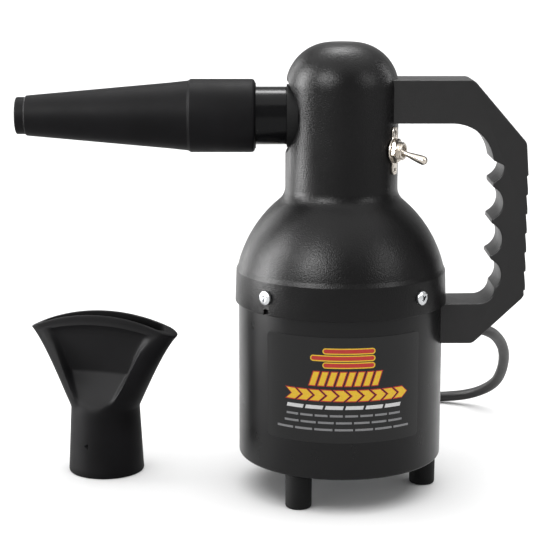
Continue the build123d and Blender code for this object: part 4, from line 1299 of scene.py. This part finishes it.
# ---- shells ----------------------------------------------------------------------------------------
@dataclass
class Shells:
    """Motor can, upper housing, label, feet and lip screws."""

    can_r: float = 68.2
    can_wall: float = 1.2
    can_edge_r: float = 2.0
    intake_r: float = 46.0
    lip_r: float = 70.5
    lip_z: float = 128.8
    can_top_z: float = 146.0
    ridge: Pair = (69.75, 150.2)
    ridge_top: Pair = (68.45, 153.0)
    shoulder_r: float = 81.5
    shoulder_start: float = 13.9
    neck_r: float = 37.2
    neck_fillet_r: float = 12.0
    dome_corner_r: float = 30.0
    top_z: float = 300.0
    wall: float = 2.2
    outlet_z: float = 252.0
    outlet_opening_r: float = 24.0
    switch_azimuth: float = -27.0
    switch_z: float = 230.9
    bushing_hole_r: float = 6.1
    notch_azimuth: float = 225.0
    label_half_angle: float = 45.5
    label_z: Pair = (48.9, 118.4)
    label_thickness: float = 0.21
    label_corner_r: float = 3.0
    label_columns: int = 60
    skin_gap: float = 0.02
    screw_z: float = 140.3
    screw_hole_r: float = 2.3
    screw_head: Pair = (4.6, 2.8)
    screw_length: float = 9.0
    screw_angles: tuple[float, ...] = (45.0, 135.0, 225.0, 315.0)
    foot_height: float = 23.7
    foot_circle_r: float = 57.0
    foot_angles: tuple[float, ...] = (0.0, 120.0, 240.0)

    def build(self) -> None:
        """Makes the outside of the blower's body."""
        self.make_can()
        self.make_housing()
        self.make_label()
        self.make_screws()
        self.make_feet()

    def make_can(self) -> None:
        """Drawn can with its intake opening and the holes for the cord and the screws."""
        inner_r, floor_z = self.can_r - self.can_wall, self.foot_height + self.can_wall
        top_z = self.can_top_z - 0.05
        can = turned("motor_can", rounded([
            (self.intake_r, self.foot_height, 0.3), (self.can_r, self.foot_height, self.can_edge_r),
            (self.can_r, top_z, 0), (inner_r, top_z, 0), (inner_r, floor_z, 0.8),
            (self.intake_r, floor_z, 0.3),
        ]), 180)
        cord = MainsCord()
        start_r = inner_r - 9.0
        exit_way = polar(1, cord.exit_azimuth)
        holes = [(polar(start_r, cord.exit_azimuth, cord.exit_z), exit_way, cord.radius + 0.3)]
        for angle in self.screw_angles:
            holes.append((polar(start_r, angle, self.screw_z), polar(1, angle), self.screw_hole_r))
        for angle in self.foot_angles:
            holes.append((polar(self.foot_circle_r, angle, 20.0), Vector((0, 0.001, 1)), self.screw_hole_r))
        for place, direction, radius in holes:
            drill = rod("hole", radius, 12.0, 24)
            cut(can, place_piece(drill, facing(place, direction, Vector((0, 1, 0.3)))))
        hand_over(can, CAN_PAINT, smooth=30.0)

    def upper_line(self, inset: float) -> list[Pair]:
        """Shoulder, neck and dome of the housing, moved in by an inset, from low to high.

        Args:
            inset: how far it lies inside the outer surface.

        Returns:
            The line's points.
        """
        start = math.radians(self.shoulder_start)
        shoulder = (
            self.ridge_top[0] - self.shoulder_r * math.cos(start),
            self.ridge_top[1] - self.shoulder_r * math.sin(start),
        )
        reach = self.shoulder_r + self.neck_fillet_r
        hollow_r = self.neck_r + self.neck_fillet_r
        hollow = (hollow_r, shoulder[1] + math.sqrt(reach ** 2 - (hollow_r - shoulder[0]) ** 2))
        join = math.degrees(math.atan2(hollow[1] - shoulder[1], hollow[0] - shoulder[0]))
        dome = (self.neck_r - self.dome_corner_r, self.top_z - self.dome_corner_r)
        line = arc(shoulder, self.shoulder_r - inset, self.shoulder_start, join, 22)
        line += arc(hollow, self.neck_fillet_r + inset, join + 180, 180, 10)[1:]
        line += arc(dome, self.dome_corner_r - inset, 0, 90, 18)
        return line

    def make_housing(self) -> None:
        """Cast housing with its lip, outlet opening, drain notch and switch hole."""
        upper = self.upper_line(0.0)
        outside = rounded([
            (self.can_r + 0.15, self.lip_z, 0), (self.lip_r, self.lip_z, 0.6), (*self.ridge, 1.3),
            (*self.ridge_top, 1.8), (*upper[1], 0),
        ], closed=False, steps=4)[1:-1]
        inside = list(reversed(self.upper_line(self.wall)))
        profile = outside + upper[1:] + [(0.0, self.top_z), (0.0, self.top_z - self.wall)] + inside
        fit_r = self.can_r + 0.15
        profile += [(self.can_r - 1.7, self.can_top_z), (fit_r, self.can_top_z), (fit_r, self.lip_z)]
        housing = turned("upper_housing", profile, 144)
        opening = rod("opening", self.outlet_opening_r, 60.0, 96)
        place_piece(opening, facing(Vector((0, 0, self.outlet_z)), Vector((-1, 0, 0))))
        cut(housing, opening)
        hole = rod("hole", self.bushing_hole_r, 40.0, 32)
        cut(housing, place_piece(hole, facing(Vector((0, 0, self.switch_z)), polar(1, self.switch_azimuth))))
        notch = bevelled(block("notch", (20.0, 5.0, 8.0)), 1.0, 3)
        at_lip = Matrix.Translation((self.lip_r, 0, self.lip_z))
        cut(housing, place_piece(notch, spun(self.notch_azimuth) @ at_lip))
        self.round_opening(housing)
        hand_over(housing, POWDER, smooth=30.0)

    def round_opening(self, housing: bpy.types.Object) -> None:
        """Rounds the outer rim of the outlet's opening.

        Args:
            housing: the housing, with the opening cut.
        """
        with editing(housing, "EDGE"):
            bpy.ops.mesh.select_all(action="DESELECT")
            bpy.ops.object.mode_set(mode="OBJECT")
            points = [v.co for v in housing.data.vertices]
            on_rim = [
                p.x < 0 and abs(math.hypot(p.y, p.z - self.outlet_z) - self.outlet_opening_r) < 0.05
                and math.hypot(p.x, p.y) > self.neck_r - 1.0 for p in points
            ]
            for edge in housing.data.edges:
                edge.select = all(on_rim[index] for index in edge.vertices)
            bpy.ops.object.mode_set(mode="EDIT")
            bpy.ops.mesh.bevel(offset=0.9, segments=3, affect="EDGES", clamp_overlap=False)

    def make_label(self) -> None:
        """Film with rounded corners, wrapped round the front of the can."""
        half = math.radians(self.label_half_angle)
        width, height = 2 * half * self.can_r, self.label_z[1] - self.label_z[0]
        deselect()
        bpy.ops.mesh.primitive_plane_add(size=1.0, location=(0, 0, 0))
        film = named("nameplate")
        with editing(film):
            bpy.ops.transform.resize(value=(width, height, 1.0))
            bpy.ops.mesh.bevel(offset=self.label_corner_r, segments=6, affect="VERTICES")
            for column in range(1, self.label_columns):
                bpy.ops.mesh.select_all(action="SELECT")
                across = width * (column / self.label_columns - 0.5)
                bpy.ops.mesh.bisect(plane_co=(across, 0, 0), plane_no=(1, 0, 0))
        for loop, spot in zip(film.data.loops, film.data.uv_layers["UVMap"].data):
            point = film.data.vertices[loop.vertex_index].co
            spot.uv = (point.x / width + 0.5, point.y / height + 0.5)
        middle = (self.label_z[0] + self.label_z[1]) / 2
        for vertex in film.data.vertices:
            flat = vertex.co.copy()
            azimuth = math.degrees(flat.x / self.can_r) - 90.0
            vertex.co = polar(self.can_r + self.skin_gap, azimuth, middle + flat.y)
        close_up(film)
        outwards(film, Vector((0, 0, middle)))
        applied(film, "SOLIDIFY", thickness=self.label_thickness, offset=1.0)
        hand_over(film, LABEL)

    def make_screws(self) -> None:
        """Pan-head cross-recess screws round the lip."""
        screw = pan_screw("lip_screws", *self.screw_head, self.screw_length)
        slope = (self.lip_r - self.ridge[0]) * (self.screw_z - self.lip_z) / (self.ridge[1] - self.lip_z)
        seat = self.lip_r - slope + 0.1
        places = []
        for number, angle in enumerate(self.screw_angles):
            tightened = spun(20.0 + 37.0 * number)
            places.append(facing(polar(seat, angle, self.screw_z), polar(1, angle)) @ tightened)
        hand_over(copied(screw, places), ZINC, smooth=30.0)

    def make_feet(self) -> None:
        """Turned rubber feet, each hollow up inside for a screw."""
        top = self.foot_height
        for number, angle in enumerate(self.foot_angles, start=1):
            foot = turned(f"foot_{number}", rounded([
                (2.05, top, 0), (9.0, top, 0.4), (8.95, top - 2.2, 0.2), (8.75, top - 2.6, 0.2),
                (8.6, 0.0, 1.6), (4.7, 0.0, 0.8), (4.7, 15.0, 0.3), (2.05, 15.0, 0),
            ], steps=4), 56)
            place_piece(foot, Matrix.Translation(polar(self.foot_circle_r, angle)))
            hand_over(foot, RUBBER)


def pan_screw(name: str, radius: float, height: float, length: float) -> bpy.types.Object:
    """Screw with a domed pan head and a tapered cross recess.

    Args:
        name: its name.
        radius: radius of its head.
        height: height of its head.
        length: length of its shank below the head.

    Returns:
        The screw, with the underside of its head on the origin.
    """
    crown = [(0.0, height)]
    for angle in (math.radians(15), math.radians(30), math.radians(45)):
        crown.append((radius * math.sin(angle) * 0.96, height - 0.55 * (1 - math.cos(angle))))
    shank_r = 2.0
    side = rounded([
        (*crown[-1], 0), (radius, height * 0.62, height * 0.28), (radius, 0.0, 0.15), (shank_r, 0.0, 0),
    ], closed=False)
    point = [(shank_r, 0.6 - length), (shank_r - 0.6, -length), (0.0, -length)]
    screw = turned(name, crown + side[1:] + point, 48, closed=False)
    for turn in (0, 90):
        slot = block("slot", (radius * 1.3, 1.8, 2 * height * 0.75), (0, 0, height))
        with editing(slot, "FACE"):
            select_faces(slot, Vector((0, 0, -1)))
            bpy.ops.transform.resize(value=(0.5, 0.8, 1.0), center_override=(0, 0, 0))
        cut(screw, place_piece(slot, spun(turn)))
    return screw


# ---- outlet and nozzles ----------------------------------------------------------------------------
@dataclass
class OutletNozzle:
    """Steel outlet tube and the straight rubber nozzle pushed over it."""

    axis_z: float = 252.0
    tube_r: float = 19.0
    tube_bore_r: float = 17.5
    tube_x: Pair = (-29.0, -95.0)
    collar_x: Pair = (-56.5, -99.2)
    collar_r: float = 24.0
    socket_r: float = 19.08
    shoulder: Pair = (-101.0, 22.9)
    cone_start: Pair = (-112.0, 21.7)
    cone_end: Pair = (-207.0, 13.2)
    tip: Pair = (-213.9, 12.2)
    tip_bore_r: float = 9.9

    def build(self) -> None:
        """Makes the tube and the nozzle."""
        near, far = self.tube_x
        tube = turned("outlet_tube", rounded([
            (near, self.tube_bore_r, 0), (near, self.tube_r, 0.3), (far, self.tube_r, 0.6),
            (far, self.tube_bore_r, 0.6),
        ], steps=4), 96, Axis.OUTLET, self.axis_z)
        hand_over(tube, ENAMEL)
        start, end = self.collar_x
        outside: list[Triple] = [
            (start, self.socket_r, 0), (start, self.socket_r + 2.2, 0.5),
            (start - 0.5, self.socket_r + 2.6, 0.4), (start, self.collar_r, 2.3),
            (end, self.collar_r, 0.9), (*self.shoulder, 1.2),
            (*self.cone_start, 60.0), (*self.cone_end, 0.8), (self.cone_end[0] - 0.9, self.tip[1], 0.4),
            (*self.tip, 1.1),
        ]
        inside: list[Triple] = [
            (self.tip[0], self.tip_bore_r, 0.8), (self.tip[0] + 10.0, self.tip_bore_r, 0.5),
            (self.cone_start[0], self.tube_bore_r - 0.6, 1.0), (self.tube_x[1] - 1.0, self.tube_bore_r, 0),
            (self.tube_x[1] - 1.0, self.socket_r, 0),
        ]
        nozzle = turned("nozzle", rounded(outside + inside, steps=6), 112, Axis.OUTLET, self.axis_z)
        hand_over(nozzle, NOZZLE_RUBBER, "nozzle", 50.0)


@dataclass
class FlareNozzle:
    """Fan-shaped nozzle: round socket, drawn-in front and back panels, arched mouth with a rim."""

    centre: Pair = (-162.5, 30.0)
    yaw: float = -17.0
    base_r: float = 26.3
    waist_r: float = 23.9
    waist_z: float = 46.0
    socket_r: float = 19.08
    socket_depth: float = 44.0
    throat_r: float = 17.5
    tip_half_width: float = 54.3
    tip_z: float = 99.8
    top_z: float = 112.0
    mouth_arc_r: float = 127.5
    end_r: float = 9.2
    wall: float = 2.4
    tip_wall: float = 8.0
    crease: float = 0.4
    ramp_depth: float = 14.4
    panel_lean: float = 2.2
    rim_height: float = 2.0
    panel_start: float = 4.4
    panel_spread: float = 31.5
    panel_wall: float = 3.4
    panel_hollow: float = 0.7
    panel_columns: int = 12
    wall_columns: int = 6
    end_columns: int = 20
    split: float = 12.0
    settling: float = 0.14
    dimple_out: float = 25.2
    dimple_z: float = 22.5

    def build(self) -> None:
        """Makes the nozzle from sections stacked up its outside and down its inside."""
        low_rises = [step / 50 for step in range(25)]
        rises = low_rises + [0.54, 0.62, 0.7, 0.78, 0.84, 0.87, 0.9, 0.92, 0.95, 0.975]
        foot = [(self.base_r - 1.2, 0.0), (self.base_r - 0.3, 0.35), (self.base_r, 1.3)]
        for step in range(1, 9):
            share = step / 9
            foot.append((self.base_r + (self.waist_r - self.base_r) * share, self.waist_z * share))
        mouth = [(0.992, 0.25), (1.0, 0.9), (1.0, 1.6), (0.992, self.wall)]
        socket = [(self.throat_r, self.socket_depth), (self.socket_r, self.socket_depth)]
        socket += [(self.socket_r, 1.0), (self.socket_r + 0.8, 0.0)]
        stack = [self.round_section(*ring) for ring in foot]
        stack += [self.spread_section(rise, 0.0) for rise in rises]
        stack += [self.spread_section(*ring) for ring in mouth]
        stack += [self.spread_section(rise, self.wall) for rise in reversed(rises[2:])]
        stack += [self.round_section(*ring) for ring in socket] + [stack[0]]
        nozzle = self.rolled("flare_nozzle", stack)
        place_piece(nozzle, Matrix.Translation((*self.centre, 0.0)) @ spun(self.yaw))
        self.mark(nozzle)
        hand_over(nozzle, NOZZLE_RUBBER, "flare", 34.0)

    def quadrant(self) -> list[float]:
        """Angles of one quarter of a section from its front to its end, closer in the panel.

        Returns:
            The angles in degrees.
        """
        panel = [self.split * step / self.panel_columns for step in range(self.panel_columns)]
        end = [self.split + (90.0 - self.split) * step / self.end_columns for step in range(self.end_columns)]
        return panel + end + [90.0]

    def mirrored(self, quarter: Sequence[Pair], heights: Sequence[float]) -> list[Triple]:
        """Full section from its front right quarter, given from the front's middle round to the right end.

        Args:
            quarter: half-width and depth of each point, the last one being at the end itself.
            heights: height of each.

        Returns:
            The section's points, anticlockwise from the front's middle.
        """
        right = [(u, -v, z) for (u, v), z in zip(quarter, heights)]
        back = [(u, v, z) for (u, v), z in zip(quarter, heights)]
        section = right + back[-2::-1]
        section += [(-u, v, z) for u, v, z in back[1:]]
        section += [(-u, v, z) for u, v, z in right[-2:0:-1]]
        return section

    def round_section(self, radius: float, up: float) -> list[Triple]:
        """Round section of a radius at a height."""
        turns = [math.radians(angle) for angle in self.quadrant()]
        return self.mirrored([(radius * math.sin(a), radius * math.cos(a)) for a in turns], [up] * len(turns))

    def spread_section(self, rise: float, inset: float) -> list[Triple]:
        """Section between the waist and the mouth.

        Args:
            rise: 0 at the waist and 1 at the mouth.
            inset: how far it lies inside the outer surface.

        Returns:
            The section's points.
        """
        tip_shift = (self.tip_wall - self.wall) * rise ** 3 * (inset / self.wall) ** 3
        width = self.waist_r + (self.tip_half_width - self.waist_r) * rise - inset - tip_shift
        end_r = self.waist_r + (self.end_r - self.waist_r) * min(1.0, rise * 1.06) - inset
        panel = min(self.panel_start + self.panel_spread * rise ** 0.75, width - end_r * 0.5)
        ramp = min(1.0, rise / self.crease)
        rim = min(1.0, max(0.0, (rise - 0.85) / 0.07))
        depth = self.waist_r - self.ramp_depth * ramp - self.panel_lean * max(0.0, rise - self.crease)
        depth = min(depth + self.rim_height * eased(rim) - inset, end_r)
        centre = width - end_r
        foot = panel + self.panel_wall * min(1.0, rise / 0.1)
        split = math.asin(min(0.9, max(0.0, (foot - centre) / end_r)))
        flank = end_r * math.cos(split)
        settled = eased(min(1.0, rise / self.settling))
        quarter = []
        for index, angle in enumerate(self.quadrant()):
            if index <= self.panel_columns:
                share = index / self.panel_columns
                dip = math.sin(math.pi * min(rise, 0.87) / 0.87) * (1 - share ** 2)
                spot = (share * panel, depth - self.panel_hollow * dip)
            elif index <= self.panel_columns + self.wall_columns:
                share = (index - self.panel_columns) / self.wall_columns
                spot = (panel + (max(foot, centre) - panel) * share, depth + (flank - depth) * eased(share))
            else:
                past = index - self.panel_columns - self.wall_columns
                share = past / (self.end_columns - self.wall_columns)
                turn = split + (math.pi / 2 - split) * share
                spot = (centre + end_r * math.sin(turn), end_r * math.cos(turn))
            turn = math.radians(angle)
            plain = (width * math.sin(turn), end_r * math.cos(turn))
            quarter.append(tuple(own * settled + other * (1 - settled) for own, other in zip(spot, plain)))
        heights = [self.lifted(across, rise) for across, _ in quarter]
        return self.mirrored(quarter, heights)

    def lifted(self, across: float, rise: float) -> float:
        """Height of a point on a section, which arches more the nearer it is to the mouth.

        Args:
            across: the point's place across the nozzle.
            rise: 0 at the waist and 1 at the mouth.

        Returns:
            The height.
        """
        arch = self.top_z - self.mouth_arc_r + math.sqrt(self.mouth_arc_r ** 2 - across ** 2)
        bow = rise ** 1.5
        level = self.waist_z + (self.tip_z - self.waist_z) * rise
        lift = self.waist_z + (self.top_z - self.waist_z) * rise - level
        share = (arch - self.tip_z) / (self.top_z - self.tip_z)
        return level + lift * (1 - bow) * 0.5 * (1 + max(-1.0, share)) + lift * bow * share

    def rolled(self, name: str, sections: Sequence[Sequence[Triple]]) -> bpy.types.Object:
        """Grid rolled so that each of its rows is one section.

        Args:
            name: the piece's name.
            sections: closed sections with the same number of points.

        Returns:
            The closed piece.
        """
        deselect()
        columns, rows = len(sections[0]), len(sections)
        bpy.ops.mesh.primitive_grid_add(x_subdivisions=columns, y_subdivisions=rows - 1, size=1.0)
        piece = named(name)
        for row, section in enumerate(sections):
            for column in range(columns + 1):
                piece.data.vertices[row * (columns + 1) + column].co = section[column % columns]
        return close_up(piece)

    def mark(self, nozzle: bpy.types.Object) -> None:
        """Small moulded dimple low on the front.

        Args:
            nozzle: the nozzle.
        """
        deselect()
        bpy.ops.mesh.primitive_cone_add(vertices=3, radius1=0.6, radius2=4.4, depth=3.0, location=(0, 0, 0))
        tool = named("dimple")
        azimuth = self.yaw - 100.0
        spot = Vector((*self.centre, 0.0)) + polar(self.dimple_out, azimuth, self.dimple_z)
        cut(nozzle, place_piece(tool, facing(spot, polar(1, azimuth))))


# ---- grip handle -----------------------------------------------------------------------------------
@dataclass
class GripHandle:
    """Moulded handle with finger hollows inside and stepped ridges outside."""

    width: float = 35.0
    reach: float = 121.3
    top_z: float = 276.6
    top_arm: float = 28.2
    bottom_z: float = 102.2
    bottom_arm: float = 25.0
    inner_x: float = 98.4
    lean: float = 1.0
    fingers: int = 4
    finger_pitch: float = 24.1
    finger_first_z: float = 148.4
    finger_depth: float = 6.6
    finger_r: float = 11.4
    crest_blend: float = 1.3
    grip_steps: int = 92
    bend_r: float = 27.0
    heel_r: float = 10.5
    heel_rise: float = 12.5
    ridges: int = 7
    ridge_pitch: float = 12.7
    ridge_top_z: float = 215.0
    ridge_step: float = 1.1
    edge_r: float = 2.2

    def inner_edge(self) -> list[Pair]:
        """Grip's inner side with its finger hollows, from low to high.

        Returns:
            The edge's points.
        """
        low = self.bottom_z + self.bottom_arm + self.heel_rise
        high = self.top_z - self.top_arm - self.bend_r
        line = []
        for step in range(self.grip_steps + 1):
            up = low + (high - low) * step / self.grip_steps
            plain = self.inner_x - self.lean * (high - up) / (high - low)
            deepest = plain
            for finger in range(self.fingers):
                off = up - self.finger_first_z - finger * self.finger_pitch
                if abs(off) < self.finger_r - 0.2:
                    centre = self.inner_x + self.finger_depth - self.finger_r
                    hollow = centre + math.sqrt(self.finger_r ** 2 - off ** 2)
                    gap = max(self.crest_blend - abs(hollow - plain), 0.0) / self.crest_blend
                    deepest = max(hollow, plain) + gap * gap * self.crest_blend / 4
            line.append((deepest, up))
        return line

    def build(self) -> None:
        """Makes the handle, cuts its ridges and fits its ends to the neck and the can."""
        inner = self.inner_edge()
        top, floor = self.top_z - self.top_arm, self.bottom_z + self.bottom_arm
        outer = rounded([
            (0, self.bottom_z, 0), (self.reach - 34.0, self.bottom_z, 6.0),
            (self.reach, self.bottom_z + 32.4, 9.0), (self.reach, self.ridge_top_z, 0),
            (self.reach - 1.6, self.top_z - 40.6, 6.0), (self.reach - 36.8, self.top_z, 6.0),
            (0, self.top_z, 0),
        ], closed=False, steps=6)
        bend = arc((self.inner_x - self.bend_r, top - self.bend_r), self.bend_r, 90, 0, 14)
        heel = arc((inner[0][0] - self.heel_r, floor + self.heel_rise), self.heel_r, 0, -90, 8)
        outline = outer + [(0, top)] + bend[:-1] + list(reversed(inner)) + heel[1:] + [(0, floor + 1.0)]
        grip = pulled("handle", [(x, self.width / 2, z) for x, z in outline], (0, -self.width, 0))
        bevelled(grip, self.edge_r, 4, 50.0)
        self.cut_ridges(grip)
        shells = Shells()
        dome = [point for point in shells.upper_line(0.0) if point[1] > 230.0]
        neck = [(shells.neck_r, 180.0)] + dome + [(0.0, shells.top_z), (0.0, 180.0)]
        cut(grip, turned("neck_tool", neck, 144))
        cut(grip, rod("can_tool", shells.can_r, shells.can_top_z, 192))
        hand_over(grip, GRIP, smooth=28.0)

    def cut_ridges(self, grip: bpy.types.Object) -> None:
        """Cuts the stepped ridges out of the handle's outer side.

        Args:
            grip: the handle.
        """
        line = [(self.reach + 3.0, self.ridge_top_z)]
        for row in range(self.ridges):
            top = self.ridge_top_z - row * self.ridge_pitch
            line += [
                (self.reach + 0.02, top), (self.reach - self.ridge_step, top - 0.7),
                (self.reach + 0.02, top - self.ridge_pitch * 0.86),
            ]
        line.append((self.reach + 3.0, self.ridge_top_z - self.ridges * self.ridge_pitch))
        comb = pulled("comb", [(x, self.width, z) for x, z in line], (0, -2 * self.width, 0))
        cut(grip, comb)


# ---- toggle switch ---------------------------------------------------------------------------------
@dataclass
class ToggleSwitch:
    """Plate, lock washer, nut, threaded bushing and bat lever on the neck."""

    azimuth: float = -27.0
    neck_r: float = 37.2
    up: float = 230.9
    plate_out: float = 0.05
    plate_t: float = 1.0
    ring_r: float = 9.0
    lug_w: float = 7.6
    lug_corner: float = 6.0
    lug_hole_r: float = 1.1
    lug_hole_out: float = 12.3
    plate_h: float = 31.0
    washer_r: float = 7.6
    washer_t: float = 0.6
    tooth_depth: float = 0.7
    nut_af: float = 14.2
    nut_t: float = 2.2
    nut_turn: float = 12.0
    bushing_r: float = 5.95
    bushing_out: float = 7.2
    bushing_in: float = -5.4
    thread_pitch: float = 0.75
    bore_r: float = 3.6
    pivot_out: float = 3.6
    lever_length: float = 20.6
    tilt: float = 17.0

    def place(self, out: float) -> Matrix:
        """Matrix for a piece that far outside the neck."""
        return facing(polar(self.neck_r + out, self.azimuth, self.up), polar(1, self.azimuth))

    def build(self) -> None:
        """Makes the switch's visible pieces."""
        washer_out = self.plate_out + self.plate_t
        nut_out = washer_out + self.washer_t
        self.make_plate()
        self.make_washer(washer_out)
        self.make_nut(nut_out)
        self.make_bushing()
        self.make_lever()

    def make_plate(self) -> None:
        """Plate with two lugs, a dished ring and a small hole in each lug."""
        line = []
        for along, side in directions_round(120):
            ends = abs(along) / (self.plate_h / 2), abs(side) / (self.lug_w / 2)
            lug = 1.0 / (ends[0] ** self.lug_corner + ends[1] ** self.lug_corner) ** (1 / self.lug_corner)
            reach = max(self.ring_r, lug)
            line.append((reach * along, reach * side, 0.0))
        plate = pulled("switch_plate", line, (0, 0, self.plate_t))
        drilled(plate, self.bushing_r + 0.1, 40)
        for side in (-1, 1):
            drilled(plate, self.lug_hole_r, 20, side * self.lug_hole_out)
        bevelled(plate, 0.22, 2, 50.0)
        hand_over(place_piece(plate, self.place(self.plate_out)), NICKEL, smooth=30.0)

    def make_washer(self, out: float) -> None:
        """Toothed lock washer.

        Args:
            out: how far outside the neck it lies.
        """
        line = []
        for step, (along, side) in enumerate(directions_round(96)):
            reach = self.washer_r - (self.tooth_depth if step % 6 in (0, 1) else 0.0)
            line.append((reach * along, reach * side, 0.0))
        washer = pulled("switch_lock_washer", line, (0, 0, self.washer_t))
        drilled(washer, self.bushing_r + 0.05, 40)
        bevelled(washer, 0.12, 1, 50.0)
        hand_over(place_piece(washer, self.place(out)), NICKEL, smooth=30.0)

    def make_nut(self, out: float) -> None:
        """Hexagon nut with turned-off corners.

        Args:
            out: how far outside the neck it lies.
        """
        corner_r = self.nut_af / math.sqrt(3)
        nut = rod("switch_nut", corner_r, self.nut_t, 6)
        dome = turned("dome", [
            (0.0, -0.5), (corner_r + 1.0, -0.5), (corner_r + 1.0, self.nut_t * 0.45),
            (self.nut_af / 2 - 0.2, self.nut_t + 0.02), (0.0, self.nut_t + 0.02),
        ], 64, closed=False)
        cut(nut, dome, "INTERSECT")
        drilled(nut, self.bushing_r + 0.02, 48, depth=9.0)
        bevelled(nut, 0.12, 2, 35.0)
        hand_over(place_piece(nut, self.place(out) @ spun(self.nut_turn)), NICKEL, smooth=30.0)

    def make_bushing(self) -> None:
        """Threaded bushing with a chamfered mouth."""
        low, high = self.bushing_in, self.bushing_out
        line = [(self.bore_r, low), (self.bushing_r, low)]
        for ridge in range(int((high - 0.8 - low) / self.thread_pitch)):
            base = low + 0.3 + ridge * self.thread_pitch
            line += [(self.bushing_r, base), (self.bushing_r - 0.4, base + self.thread_pitch / 2)]
        line += [(self.bushing_r, high - 0.7), (self.bushing_r - 0.6, high)]
        line += [(self.bore_r + 0.5, high), (self.bore_r, high - 0.6)]
        bushing = turned("switch_bushing", line, 56)
        hand_over(place_piece(bushing, self.place(0.0)), NICKEL, smooth=40.0)

    def make_lever(self) -> None:
        """Bat lever on its ball."""
        tip_r, neck_r, ball_r = 3.0, 1.6, 3.5
        ball = arc((0.0, 0.0), ball_r, -90, 58, 12)
        bat = [(neck_r, 3.4), (neck_r, 6.0), (2.0, 9.0), (2.5, 12.5), (2.9, 15.8)]
        end = arc((0.0, self.lever_length - tip_r), tip_r, 8, 90, 8)
        lever = turned("switch_lever", ball + bat + end, 40, closed=False)
        place_piece(lever, self.place(self.pivot_out) @ spun(-self.tilt, "Y"))
        hand_over(lever, NICKEL, "lever", 50.0)


# ---- works inside ----------------------------------------------------------------------------------
@dataclass
class InnerWorks:
    """Fan, motor and fixings inside the can, which keep their CAD meshes and get a finish by their slot."""

    finishes: tuple[Finish, ...] = (
        CAN_PAINT, RUBBER, ZINC, NICKEL, STEEL, ALUMINIUM, COPPER, BRASS, CARBON, PHENOLIC, FOAM, LEADS,
    )

    def build(self) -> None:
        """Dresses every node that nothing else stands for."""
        by_slot = {finish.name: finish for finish in self.finishes}
        for part in frame["record"]["subparts"]:
            piece, slot = frame["nodes"][part["node"]], part["material_slot"]
            if slot not in by_slot or piece.hide_render:
                continue
            piece.data.materials.clear()
            piece.data.materials.append(by_slot[slot].material())
            LOG.info("%s in %s", part["node"], slot)


def main() -> None:
    """Builds the scene in order."""
    makers = (Studio, MainsCord, Shells, OutletNozzle, FlareNozzle, GripHandle, ToggleSwitch, InnerWorks)
    for maker in (kind() for kind in makers):
        maker.build()
        LOG.info("%s done", type(maker).__name__)


if __name__ == "__main__":
    main()
